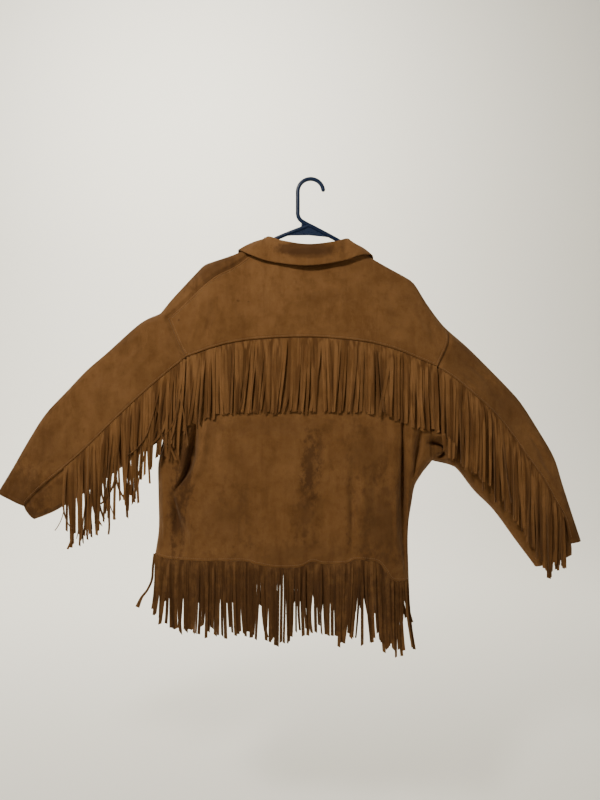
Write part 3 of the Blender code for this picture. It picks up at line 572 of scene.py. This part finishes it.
# seams that shape each panel: the run, and its stitch grooves' distances (none where it tucks under)
YOKE_LIPS = [(YOKE_SEAM, (5.5,)), (ARMHOLE_YOKE_LEFT, (5,)), (ARMHOLE_YOKE_RIGHT, (5,)),
             (SHOULDER_SEAM_LEFT, (5,)), (BACK_NECK, ())]
BODY_LIPS = [(YOKE_SEAM, ()), (ARMHOLE_LOW_LEFT, ()), (ARMHOLE_LOW_RIGHT, ()), (HEM_BACK, (6,))]
SLEEVE_LIPS_LEFT = [(SLEEVE_SEAM_LEFT, (5,)), (ARMHOLE_YOKE_LEFT, ()),
                    ([(-658, -654), (-599, -681)], (9,))]
SLEEVE_LIPS_RIGHT = [(SLEEVE_SEAM_RIGHT, (5,)), (ARMHOLE_YOKE_RIGHT, ()),
                     ([(565, -755), (538, -759)], (9,))]
UNDER_LIPS_LEFT = [(SLEEVE_SEAM_LEFT, ()), (ARMHOLE_LOW_LEFT, ())]
UNDER_LIPS_RIGHT = [(SLEEVE_SEAM_RIGHT, ()), (ARMHOLE_LOW_RIGHT, ())]
FRONT_LIPS = [(CENTRE_FRONT, (6, 22)), (HEM_FRONT_LEFT, (5, 12)), (HEM_FRONT_RIGHT, (5, 12))]


def back_yoke(surface):
    top = joined_edge([SHOULDER_SEAM_LEFT, BACK_NECK, SHOULDER_RIGHT[::-1]], YOKE_COLUMNS)
    seam = edge(YOKE_SEAM, eased(len(top)))
    left, right = (edge(armhole, eased(YOKE_ROWS)) for armhole in (ARMHOLE_YOKE_LEFT, ARMHOLE_YOKE_RIGHT))
    grid = patch(top, seam, left, right)
    return sheet_object("back_yoke_suede", skin(grid, -1, YOKE_LIPS), surface)


def back_body(surface):
    left = joined_edge([ARMHOLE_LOW_LEFT, SIDE_LEFT], (ARMHOLE_ROWS, SIDE_ROWS))
    right = joined_edge([ARMHOLE_LOW_RIGHT, SIDE_RIGHT], (ARMHOLE_ROWS, SIDE_ROWS))
    top = beside(edge(YOKE_SEAM, eased(BODY_COLUMNS)), TUCK_UNDER)
    grid = patch(top, edge(HEM_BACK, eased(BODY_COLUMNS)), left, right)
    return sheet_object("back_body_suede", skin(grid, -1, BODY_LIPS), surface)


def front(name, shoulder, wrap, neck, armhole, side, hem, surface):
    ridge = edge(shoulder, eased(FRONT_COLUMNS))
    outer = joined_edge([armhole, side], (ARMHOLE_ROWS, SIDE_ROWS))
    inner = joined_edge([neck, CENTRE_FRONT], (36, ARMHOLE_ROWS + SIDE_ROWS - 36))
    grid = patch(ridge, edge(hem, eased(FRONT_COLUMNS)), outer, inner)
    shown = skin(grid, 1, FRONT_LIPS)
    if wrap:
        seam = edge(wrap, eased(FRONT_COLUMNS))
        shares = np.sin(np.linspace(0, np.pi / 2, 22))[:-1, None, None]
        behind = skin(seam[None] * (1 - shares) + ridge[None] * shares, -1, [(wrap, ())])
        shown = np.concatenate([behind, skin(grid[:1], 0), shown[1:]])
    return sheet_object(name, shown, surface, outward=1)


def top_sleeve(name, ridge, seam, low, tip_to_corner, armhole_yoke, armhole_front, under_cuff, lips,
               surface):
    top = edge(ridge, eased(SLEEVE_STATIONS))
    bottom = edge(seam, eased(SLEEVE_STATIONS))
    under = edge(low, eased(SLEEVE_STATIONS))
    armhole = np.vstack([np.array(tip_to_corner).reshape(-1, 2), spline(armhole_yoke)])
    armhole = walk(armhole, eased(SLEEVE_ROWS))
    cuff = walk([top[-1], bottom[-1]], eased(SLEEVE_ROWS))
    behind = skin(patch(top, bottom, armhole, cuff), -1, lips)
    rows = eased(SLEEVE_ROWS + 20)
    cuff_run = [top[-1], bottom[-1], *under_cuff, under[-1]]
    before = skin(patch(top, under, edge(armhole_front, rows), walk(cuff_run, rows)), 1)
    rolled = np.concatenate([behind[:0:-1], skin(top[None], 0), before[1:]])
    return sheet_object(name, rolled, surface)


def under_sleeve(name, seam, low, armhole, under_cuff, lips, surface):
    top = edge(seam, eased(SLEEVE_STATIONS))
    top = beside(top, math.copysign(TUCK_UNDER, top[-1, 0]))
    bottom = edge(low, eased(SLEEVE_STATIONS))
    cuff = walk([top[-1], *under_cuff, bottom[-1]], eased(SLEEVE_ROWS))
    grid = patch(top, bottom, edge(armhole, eased(SLEEVE_ROWS)), cuff)
    return sheet_object(name, skin(grid, -1, lips), surface)


# ------------------------------------------------------------------ collar
# stand at the neck seam, fold at the top, free edge of the leaf: each x, y, z
COLLAR = [((-11, 26, -233), (-12, 30, -214), (-52, 40, -268)),
          ((-40, 24, -224), (-44, 30, -200), (-100, 37, -240)),
          ((-74, 20, -196), (-78, 25, -170), (-133, 31, -205)),
          ((-94, 13, -156), (-97, 15, -134), (-151, 20, -166)),
          ((-98, 3, -125.5), (-100, 2, -120.5), (-154, 0, -145)),
          ((-94, -6, -126.5), (-96, -6, -119.5), (-143, -16, -151)),
          ((-84, -11, -138), (-87, -12, -119), (-126, -27, -160)),
          ((-58, -15, -154), (-60, -20, -129), (-85, -34, -175)),
          ((-8, -18, -164), (-8, -25, -137.5), (-10, -38, -184)),
          ((44, -15, -158), (46, -20, -131), (62, -34, -174)),
          ((69, -11, -142), (73, -12, -123), (98, -28, -161)),
          ((80, -6, -132.5), (82, -6, -126.5), (117, -17, -157)),
          ((84, 3, -134.5), (87, 2, -129.5), (129, 0, -157.5)),
          ((82, 13, -160), (85, 15, -138), (129, 21, -175)),
          ((62, 20, -198), (68, 25, -174), (112, 31, -214)),
          ((26, 24, -225), (30, 30, -201), (78, 37, -246)),
          ((-5, 26, -233), (-4, 30, -214), (36, 40, -270))]
FOLD_HALF_WIDTH = 2.4
FOLD_DROP = 2.4
# small wrinkles and folds across the leaf: x, height, half width, from and to (share of the leaf)
COLLAR_WRINKLES = [(-36, -1.0, 1.6, .02, .42), (-28, .8, 1.8, .05, .45), (-18, -1.0, 1.5, 0, .4),
                   (-9, .8, 1.7, .05, .4), (2, -1.1, 1.6, 0, .45), (14, .8, 2.0, .05, .4),
                   (24, -.9, 1.6, 0, .35),
                   (58, 2.4, 4.5, .15, 1), (49, -2.0, 4, .2, 1), (70, -2.2, 4, .3, 1), (-72, 1.4, 6, .3, 1),
                   (-95, -1.2, 5, .2, 1), (-50, .7, 5, .4, 1)]


def collar(surface):
    lines = []
    for station in COLLAR:
        stand, fold, leaf = (np.array(p, float) for p in station)
        out = (leaf - stand) * (1, 1, 0)
        out *= FOLD_HALF_WIDTH / np.linalg.norm(out)
        drop = np.array((0, 0, FOLD_DROP))
        outer, inner = fold + out - drop, fold - out - drop
        bulge = np.array((0, 0, 1.5)) + out * 0.8
        lines.append([leaf, leaf * .67 + outer * .33 + bulge, leaf * .33 + outer * .67 + bulge, outer,
                      fold, inner, (inner + stand) / 2, stand])
    along = [spline(line, 10) for line in zip(*lines)]
    grid = np.stack([spline(column, 6) for column in zip(*along)], 1)
    rows = grid.shape[0]
    share = (np.arange(rows) / (rows * 3 / 7))[:, None]
    for x, height, width, start, stop in COLLAR_WRINKLES:
        near = np.exp(-((grid[..., 0] - x) / width) ** 2) * (grid[..., 1] < -2)
        fade = np.clip((share - start) / .12, 0, 1) * np.clip((stop + .1 - share) / .12, 0, 1)
        grid[..., 1] -= near * fade * height
    return sheet_object("collar_suede", grid, surface)


# ------------------------------------------------------------------ fringe
YOKE_FRINGE_END = [(-256, -530), (-226, -506), (-190, -490), (-145, -486), (57, -483), (148, -489),
                   (179, -504), (256, -530)]
SLEEVE_FRINGE_END_LEFT = [(-512, -720), (-500, -755), (-455, -742), (-411, -700), (-376, -664),
                          (-349, -640), (-320, -590), (-282, -546), (-254, -546)]
SLEEVE_FRINGE_END_RIGHT = [(254, -548), (300, -590), (327, -606), (359, -640), (400, -687), (443, -743),
                           (475, -799), (490, -823), (512, -806)]
HEM_FRINGE_END = [(-324, -886), (-300, -916), (-267, -924), (-145, -928), (-101, -938), (-75, -946),
                  (-44, -946), (0, -926), (57, -937), (128, -941), (142, -958), (173, -973), (201, -968)]
FRONT_FRINGE_END = [(-324, -882), (-60, -900), (201, -930)]
# how far the groups of strands lean over their length: x, lean
YOKE_LEANS = [(-256, -6), (-222, -13), (-196, 3), (-150, -4), (-118, -11), (-62, -13), (-14, -5),
              (34, 1), (48, -5),
              (92, -8), (130, 3), (170, 0), (205, -5), (256, 4)]
SLEEVE_LEANS = [(-512, -4), (-470, 3), (-430, -6), (-380, 4), (-330, -8), (-300, -14), (-270, -6), (256, 4),
                (330, -3), (400, 4), (470, 2), (520, -3)]
HEM_LEANS = [(-324, -11), (-290, -7), (-240, 0), (-215, -6), (-170, 3), (-120, 0), (-60, -2),
             (-20, 3), (40, 0),
             (96, -9), (108, 10), (150, 5), (180, 9), (201, 15)]
STRAND_STEPS = 28
STRAND_WALL = 1.4
MOST_TURN = math.radians(52)
TOP_HIDDEN = 4.0           # what of a strand's top lies under the edge that it hangs from


def wander(count, waves, size):
    """A smooth run of numbers, so that neighbours stray together."""
    at = np.linspace(0, 1, count)
    total = sum(np.sin(2 * np.pi * (wave * at + RANDOM.rand())) for wave in waves)
    return size * total / math.sqrt(len(waves))


def strands(name, seam, ends, leans, side, surface, pitch, broad, on_panel, lean, ragged, wild, under=False,
            parting=1.3, twist=28):
    """Strips cut side by side: each hangs from the seam, turns a little and strays a little."""
    front = int(side > 0)
    run = spline(seam, 3)
    count = int(length_of(run) / pitch)
    t = np.linspace(0, 1, STRAND_STEPS)[None]
    top = walk(run, (np.arange(count) + 0.5 + RANDOM.uniform(-.1, .1, count)) / count)
    top_x, top_z = top[:, :1], top[:, 1:] + (TOP_HIDDEN if under else -0.4)
    rows = np.array(sorted(ends), float)
    end_z = np.interp(top_x, rows[:, 0], rows[:, 1]) + RANDOM.normal(0, ragged, (count, 1))
    free = (RANDOM.rand(count, 1) < wild) * 1.0
    spread = RANDOM.normal(0, lean * 0.45, (count, 1)) * (1 + 2.4 * free)
    group = np.interp(top_x, *np.array(leans, float).T)
    stray = group + wander(count, (5, 9, 14), lean * .8)[:, None] + spread
    curl = free * RANDOM.normal(0, lean * 1.3, (count, 1))
    wave = RANDOM.normal(0, 1.0, (count, 1)) * (1 + 2 * free)
    phase = RANDOM.uniform(0, 6.28, (count, 1))
    z = top_z + (end_z - top_z) * t
    x = top_x + stray * t ** parting + wave * np.sin(phase + 4.5 * t) * t
    x = x + curl * np.maximum(t - .6, 0) ** 2 * 6
    z = z + np.abs(curl) * np.maximum(t - .7, 0) ** 2 * 3
    if on_panel:
        base = np.maximum.accumulate(depth(x, z, front), axis=1)
    else:
        base = depth(top_x, top[:, 1:], front) - (WALL + STRAND_WALL + .6) * under + 0 * t
    set_off = RANDOM.normal(0, twist / 2, (count, 1))
    turn = np.radians(set_off + RANDOM.normal(0, twist, (count, 1)) * (1 + free) * t)
    turn = np.clip(turn, -MOST_TURN, MOST_TURN) * np.minimum(t / .12, 1)
    width = broad * RANDOM.uniform(0.85, 1.1, (count, 1)) * (1 - 0.1 * t)
    half = width / 2
    shingle = RANDOM.uniform(0, 4, (count, 1)) * np.minimum(t / .15, 1)
    bow = np.abs(RANDOM.normal(0, 1.6, (count, 1))) * np.sin(np.pi * t) + 2.5 * free * t ** 2
    off = base + 0.5 + half * np.abs(np.sin(turn)) + shingle + bow
    cup = RANDOM.uniform(-.4, 1.0, (count, 1)) + 0 * t
    slant = RANDOM.normal(0, 0.5, (count, 1)) * (t > .99)
    rings = []
    for u, w in ((-1, 0), (0, cup), (1, 0), (1, -STRAND_WALL), (0, cup - STRAND_WALL), (-1, -STRAND_WALL)):
        out = off + u * half * np.sin(turn) + w + STRAND_WALL
        ring = (x + u * half * np.cos(turn), side * (SEAM_GAP / 2 + out), z + slant * u * half)
        rings.append(np.stack(ring, -1))
    points = np.stack(rings, 2)
    faces = []
    for k in range(count):
        start = k * STRAND_STEPS * 6
        for a in range(start, start + (STRAND_STEPS - 1) * 6, 6):
            faces += [(a + q, a + (q + 1) % 6, a + 6 + (q + 1) % 6, a + 6 + q) for q in range(6)]
        last = start + (STRAND_STEPS - 1) * 6
        faces += [tuple(range(start + 5, start - 1, -1)), tuple(range(last, last + 6))]
    if side < 0:
        faces = [face[::-1] for face in faces]
    made = mesh_object(name, points, faces, surface)
    made.data.set_sharp_from_angle(angle=math.radians(50))
    return made


FRINGE_LEFT_STOP = .74               # the left sleeve's seam runs on plain towards the cuff
FRINGE_RIGHT_STOP = .87


def fringes(surface, shaded_surface):
    """Every fringe by its place; the drawing order is part of the looks."""
    def along(seam, start, stop, count):
        return walk(spline(seam), np.linspace(start, stop, count))
    yoke = strands("yoke_strands", along(YOKE_SEAM, .004, .996, 60), YOKE_FRINGE_END, YOKE_LEANS, -1,
                   surface, 6.7, 7.6, True, 5, 2, .10)
    sleeve_left = strands("sleeve_strands_left", along(SLEEVE_SEAM_LEFT, .006, FRINGE_LEFT_STOP, 50),
                          SLEEVE_FRINGE_END_LEFT, SLEEVE_LEANS, -1, surface, 4.0, 5.6, True, 10, 13, .30)
    sleeve_right = strands("sleeve_strands_right", along(SLEEVE_SEAM_RIGHT, .006, FRINGE_RIGHT_STOP, 50),
                           SLEEVE_FRINGE_END_RIGHT, SLEEVE_LEANS, -1, surface, 5.0, 6.4, True, 5, 7, .05)
    # the back hem strands take the darker strand suede, painted shade
    hem = strands("hem_strands_back", along(HEM_BACK, .006, .994, 90), HEM_FRINGE_END, HEM_LEANS, -1,
                  shaded_surface, 5.8, 7.2, False, 3, 8, .08, True, 1.8, 30)
    front_left, front_right = (
        strands("hem_strands_front_" + name, along(seam, .02, .995, 30), FRONT_FRINGE_END, HEM_LEANS, 1,
                shaded_surface, 6.2, 7.6, False, 5, 8, .12, True, 2, 22)
        for name, seam in (("left", HEM_FRONT_LEFT), ("right", HEM_FRONT_RIGHT)))
    for made, stood_for in ((yoke, "yoke_fringe"), (sleeve_left, "sleeve_fringe_left"),
                            (sleeve_right, "sleeve_fringe_right"), (hem, "hem_fringe_back"),
                            (front_left, "hem_fringe_front_left"), (front_right, "hem_fringe_front_right")):
        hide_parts(stood_for)
    return {"yoke": yoke, "sleeve_left": sleeve_left, "sleeve_right": sleeve_right, "hem": hem,
            "front_left": front_left, "front_right": front_right}


# the loose strand at the left hem corner: x, y, z, width
LOOSE_STRAND = [(-331, 6, -784, 5), (-334, 5, -810, 5), (-336, 3, -838, 5), (-345, 1, -859, 5),
                (-357, 0, -875, 6), (-366, 0, -895, 9)]


def loose_strand(surface):
    run = spline(LOOSE_STRAND, 8)
    middle, width = run[:, :3], run[:, 3:]
    along = np.gradient(middle, axis=0)
    across = np.cross(along, (0, 1, 0))
    across /= np.linalg.norm(across, axis=1)[:, None]
    grid = np.stack([middle + across * width * u + (0, .5 * u * u, 0) for u in (-.5, -.2, .2, .5)], 1)
    made = sheet_object("loose_strand_suede", grid, surface)
    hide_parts("loose_strand")
    return made


# ------------------------------------------------------------------ stitching
STITCH = (2.7, 0.75, 0.45)            # length, width, height
STITCH_STEP = 3.9


def stitches(name, paths, surface):
    """Short raised stitches along 3-D paths, each with its outward direction."""
    points, faces = [], []
    size, wide, high = STITCH
    for path, out in paths:
        reach = length_of(path)
        for k in range(int(reach / STITCH_STEP)):
            start = walk(path, [k * STITCH_STEP / reach])[0]
            stop = walk(path, [(k * STITCH_STEP + size) / reach])[0]
            along = (stop - start) / np.linalg.norm(stop - start)
            normal = np.array(out, float)
            normal -= along * normal.dot(along)
            normal /= np.linalg.norm(normal)
            across = np.cross(along, normal) * wide / 2
            first = len(points)
            for end, inset in ((start, along * .35), (stop, -along * .35)):
                crown = end + inset + normal * high
                points += [end - across - normal * .5, end + across - normal * .5,
                           crown + across * .6, crown - across * .6]
            a, b = first, first + 4
            faces += [(a, a + 1, a + 2, a + 3), (b + 3, b + 2, b + 1, b)]
            faces += [(a + q, b + q, b + (q + 1) % 4, a + (q + 1) % 4) for q in range(4)]
    return mesh_object(name, np.array(points), faces, surface)


def seam_path(seam, gap, lips, side=-1, start=0.0, stop=1.0, count=220):
    places = beside(walk(spline(seam), np.linspace(start, stop, count)), gap)
    return skin(places, side, lips), (0, side, 0)


def all_stitches(surface):
    paths = [seam_path(YOKE_SEAM, 5.5, YOKE_LIPS, start=.01, stop=.99),
             seam_path(ARMHOLE_YOKE_LEFT, 5, YOKE_LIPS, start=.06, stop=.96),
             seam_path(ARMHOLE_YOKE_RIGHT, -5, YOKE_LIPS, start=.06, stop=.95),
             seam_path(SHOULDER_SEAM_LEFT, -5, YOKE_LIPS, start=.03, stop=.9),
             seam_path(SLEEVE_SEAM_LEFT, -5, SLEEVE_LIPS_LEFT, start=.02, stop=.99),
             seam_path(SLEEVE_SEAM_RIGHT, 5, SLEEVE_LIPS_RIGHT, start=.02, stop=.98),
             seam_path(HEM_BACK, 6, BODY_LIPS, start=.02, stop=.98),
             seam_path(CENTRE_FRONT, 6, FRONT_LIPS, 1, .02, .98),
             seam_path(CENTRE_FRONT, -6, FRONT_LIPS, 1, .02, .98),
             seam_path(CENTRE_FRONT, 22, FRONT_LIPS, 1, .04, .97),
             seam_path(CENTRE_FRONT, -22, FRONT_LIPS, 1, .04, .97),
             seam_path(HEM_FRONT_LEFT, 5, FRONT_LIPS, 1, .06, .98),
             seam_path(HEM_FRONT_RIGHT, -5, FRONT_LIPS, 1, .06, .98)]
    return stitches("stitching", paths, surface)


# ------------------------------------------------------------------ hanger
TUBE_RADIUS = 4.3
TUBE_SIDES = 20
HOOK_RADIUS = 26.8
HOOK_MIDDLE = (-2, TUBE_RADIUS - HOOK_RADIUS)
HOOK_TIP_ANGLE = 8
STEM_FOOT_Z = -68
STEM_BEND = 20
HANGER_APEX = (-4, -93)
HANGER_TILT = 3.4
HANGER_ARM = [(0, 0), (70, -33), (140, -76), (200, -108)]
ARM_END_RADIUS = 13
ARM_END_ANGLE = 63
WEB_THICKNESS = 3
WEB = [(-21, -84), (-16, -90), (-2, -97), (30, -113), (46, -121), (30, -117.5), (-7, -114), (-42, -114.5),
       (-58, -116), (-42, -107), (-22, -98)]


def tilted(x, z):
    angle = -math.radians(HANGER_TILT)
    return (HANGER_APEX[0] + x * math.cos(angle) - z * math.sin(angle),
            HANGER_APEX[1] + x * math.sin(angle) + z * math.cos(angle))


def arc(middle, radius, start, stop, count):
    turns = np.radians(np.linspace(start, stop, count))
    return [(middle[0] + radius * math.cos(a), middle[1] + radius * math.sin(a)) for a in turns]


def tube_parts(path, closed, start):
    """Rings and faces of a round tube in the middle plane; an open one ends in round tips."""
    path = np.array(path, float)
    count = len(path)
    along = (np.roll(path, -1, 0) - np.roll(path, 1, 0)) if closed else np.gradient(path, axis=0)
    along /= np.linalg.norm(along, axis=1)[:, None]
    radii = np.full(count, TUBE_RADIUS)
    if not closed:
        tips = [math.sin(math.radians(a)) for a in (8, 30, 55)]
        ends = [path[0] - along[0] * TUBE_RADIUS * math.cos(math.asin(t)) for t in tips]
        path = np.vstack([ends, path])
        along = np.vstack([along[:1]] * 3 + [along])
        radii = np.concatenate([[TUBE_RADIUS * t for t in tips], radii])
        count += 3
    turn = np.linspace(0, 2 * np.pi, TUBE_SIDES, endpoint=False)
    points = []
    for (x, z), (dx, dz), radius in zip(path, along, radii):
        points += [(x - dz * radius * math.cos(a), radius * math.sin(a), z + dx * radius * math.cos(a))
                   for a in turn]
    faces = []
    for ring in range(count if closed else count - 1):
        a, b = start + ring * TUBE_SIDES, start + (ring + 1) % count * TUBE_SIDES
        faces += [(a + k, b + k, b + (k + 1) % TUBE_SIDES, a + (k + 1) % TUBE_SIDES)
                  for k in range(TUBE_SIDES)]
    if not closed:
        last = start + (count - 1) * TUBE_SIDES
        faces += [tuple(range(start, start + TUBE_SIDES)), tuple(reversed(range(last, last + TUBE_SIDES)))]
    return points, faces


def hanger(surface):
    stem_x = HOOK_MIDDLE[0] - HOOK_RADIUS
    hook = arc(HOOK_MIDDLE, HOOK_RADIUS, HOOK_TIP_ANGLE, 180, 40)
    hook += [(stem_x, z) for z in (-30, -42, -54)]
    hook += arc((stem_x + STEM_BEND, STEM_FOOT_Z), STEM_BEND, 180, 241, 14)
    hook += [(HANGER_APEX[0] - 7, HANGER_APEX[1] + 3.2), (HANGER_APEX[0] + 1, HANGER_APEX[1] - 1.2)]
    end_x, end_z = HANGER_ARM[-1]
    angle = math.radians(ARM_END_ANGLE)
    middle = (end_x - ARM_END_RADIUS * math.cos(angle), end_z - ARM_END_RADIUS * math.sin(angle))
    half = [tuple(p) for p in spline(HANGER_ARM, 10)[1:-1]]
    half += arc(middle, ARM_END_RADIUS, ARM_END_ANGLE, -90, 16)
    arms = [tilted(x, z) for x, z in [(0, 0), *half, *[(-x, z) for x, z in reversed(half)]]]
    points, faces = tube_parts(arms, True, 0)
    more, sides = tube_parts(hook, False, len(points))
    points, faces = points + more, faces + sides
    half_web = WEB_THICKNESS / 2
    start = len(points)
    count = len(WEB)
    points += [(x, y, z) for y in (-half_web, half_web) for x, z in WEB]
    faces += [tuple(range(start, start + count)), tuple(reversed(range(start + count, start + 2 * count)))]
    faces += [(start + k, start + k + count, start + (k + 1) % count + count, start + (k + 1) % count)
              for k in range(count)]
    made = mesh_object("hanger_moulding", points, faces, surface)
    made.data.set_sharp_from_angle(angle=math.radians(50))
    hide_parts("hanger")
    return made


# ------------------------------------------------------------------ stage
CAMERA_PLACE = (-0.0242, -1.50, -0.4599)
PICTURE_HEIGHT = 1.68                  # of the jacket's plane that the camera takes in
FLOOR_Z = -1.50
FLOOR_FRONT = -18
FLOOR_HALF_WIDTH = 14
WALL_TOP = 4.5
CURVE_RADIUS = 2.6                     # of the sweep from the floor up to the wall
BACKDROP = (0.88, 0.845, 0.74, 1)


def stage():
    """A pale floor that curves up far behind the jacket."""
    profile = [(FLOOR_FRONT, FLOOR_Z), (CURVE_RADIUS, FLOOR_Z)]
    profile += [(CURVE_RADIUS + CURVE_RADIUS * math.sin(a), FLOOR_Z + CURVE_RADIUS * (1 - math.cos(a)))
                for a in np.linspace(0, math.pi / 2, 24)[1:]]
    profile += [(2 * CURVE_RADIUS, WALL_TOP)]
    points = [(x, y, z) for y, z in profile for x in (-FLOOR_HALF_WIDTH, FLOOR_HALF_WIDTH)]
    faces = [(2 * k, 2 * k + 1, 2 * k + 3, 2 * k + 2) for k in range(len(profile) - 1)]
    mesh = bpy.data.meshes.new("backdrop")
    mesh.from_pydata(points, [], faces)
    mesh.shade_smooth()
    surface = bpy.data.materials.new("backdrop")
    surface.use_nodes = True
    shader = surface.node_tree.nodes["Principled BSDF"]
    shader.inputs["Base Color"].default_value = BACKDROP
    shader.inputs["Roughness"].default_value = 0.9
    mesh.materials.append(surface)
    backdrop = bpy.data.objects.new("backdrop", mesh)
    bpy.context.scene.collection.objects.link(backdrop)


def area_light(name, place, target, size, power, colour=(1, 1, 1)):
    light = bpy.data.lights.new(name, "AREA")
    light.shape = "DISK"
    light.size = size
    light.energy = power
    light.color = colour
    made = bpy.data.objects.new(name, light)
    made.location = place
    made.rotation_euler = (Vector(target) - Vector(place)).to_track_quat("-Z", "Y").to_euler()
    bpy.context.scene.collection.objects.link(made)


def lights_and_camera():
    area_light("key", (-0.75, -1.5, 0.75), (-0.12, 0, -0.42), 0.34, 36, (1, 0.965, 0.91))
    area_light("fill", (1.9, -2.4, -0.2), (0, 0, -0.5), 1.8, 7, (0.95, 0.97, 1))
    area_light("rear", (0.8, 2.6, 0.9), (0, 0, -0.5), 1.6, 11)
    area_light("backdrop_wash", (-1.2, 1.5, 2.8), (-1.0, 5.2, 0.6), 2.5, 460, (1, 0.98, 0.93))
    world = bpy.data.worlds.new("world")
    world.use_nodes = True
    background = world.node_tree.nodes["Background"]
    background.inputs["Color"].default_value = (1, 0.985, 0.95, 1)
    background.inputs["Strength"].default_value = 0.24
    bpy.context.scene.world = world
    camera = bpy.data.cameras.new("camera")
    camera.sensor_fit = "VERTICAL"
    camera.sensor_height = 24
    camera.lens = camera.sensor_height * -CAMERA_PLACE[1] / PICTURE_HEIGHT
    made = bpy.data.objects.new("camera", camera)
    made.location = CAMERA_PLACE
    made.rotation_euler = (math.radians(90), 0, 0)
    bpy.context.scene.collection.objects.link(made)
    bpy.context.scene.camera = made


def main():
    back = suede("suede_back", STAINS_AND_SHADE, 0.85)
    plain = suede("suede_plain", SLEEVE_STAINS_AND_SHADE, 0.81)
    turned = suede("suede_collar", COLLAR_SOIL, 0.90, crisp=True)
    cut = suede("suede_strands", STRAND_STAINS_AND_SHADE, 0.90, True)
    # the hem strands get a darker copy of the strand suede: painted shade
    cut_shaded = suede("suede_hem_strands", STRAND_STAINS_AND_SHADE, 0.70, True)
    yarn = thread()
    fringe = fringes(cut, cut_shaded)
    yoke = back_yoke(back)
    body = back_body(back)
    left = front("front_left_suede", SHOULDER_LEFT, SHOULDER_SEAM_LEFT, FRONT_NECK_LEFT,
                 ARMHOLE_FRONT_LEFT, SIDE_LEFT, HEM_FRONT_LEFT, plain)
    right = front("front_right_suede", SHOULDER_RIGHT, None, FRONT_NECK_RIGHT,
                  ARMHOLE_FRONT_RIGHT, SIDE_RIGHT, HEM_FRONT_RIGHT, plain)
    top_left = top_sleeve("top_sleeve_left_suede", SLEEVE_TOP_LEFT, SLEEVE_SEAM_LEFT, SLEEVE_LOW_LEFT,
                          [TIP_LEFT], ARMHOLE_YOKE_LEFT, ARMHOLE_FRONT_LEFT, CUFF_LEFT,
                          SLEEVE_LIPS_LEFT, plain)
    top_right = top_sleeve("top_sleeve_right_suede", SLEEVE_TOP_RIGHT, SLEEVE_SEAM_RIGHT, SLEEVE_LOW_RIGHT,
                           [], ARMHOLE_YOKE_RIGHT, ARMHOLE_FRONT_RIGHT, CUFF_RIGHT,
                           SLEEVE_LIPS_RIGHT, plain)
    under_left = under_sleeve("under_sleeve_left_suede", SLEEVE_SEAM_LEFT, SLEEVE_LOW_LEFT,
                              ARMHOLE_LOW_LEFT, CUFF_LEFT, UNDER_LIPS_LEFT, plain)
    under_right = under_sleeve("under_sleeve_right_suede", SLEEVE_SEAM_RIGHT, SLEEVE_LOW_RIGHT,
                               ARMHOLE_LOW_RIGHT, CUFF_RIGHT, UNDER_LIPS_RIGHT, plain)
    neck = collar(turned)
    for piece in (yoke, body, left, right, top_left, top_right, under_left, under_right, neck):
        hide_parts(piece.name.removesuffix("_suede"))
    strand = loose_strand(cut)
    sewing = all_stitches(yarn)
    hanger(navy_plastic())
    stage()
    lights_and_camera()
    bpy.context.view_layer.update()


main()
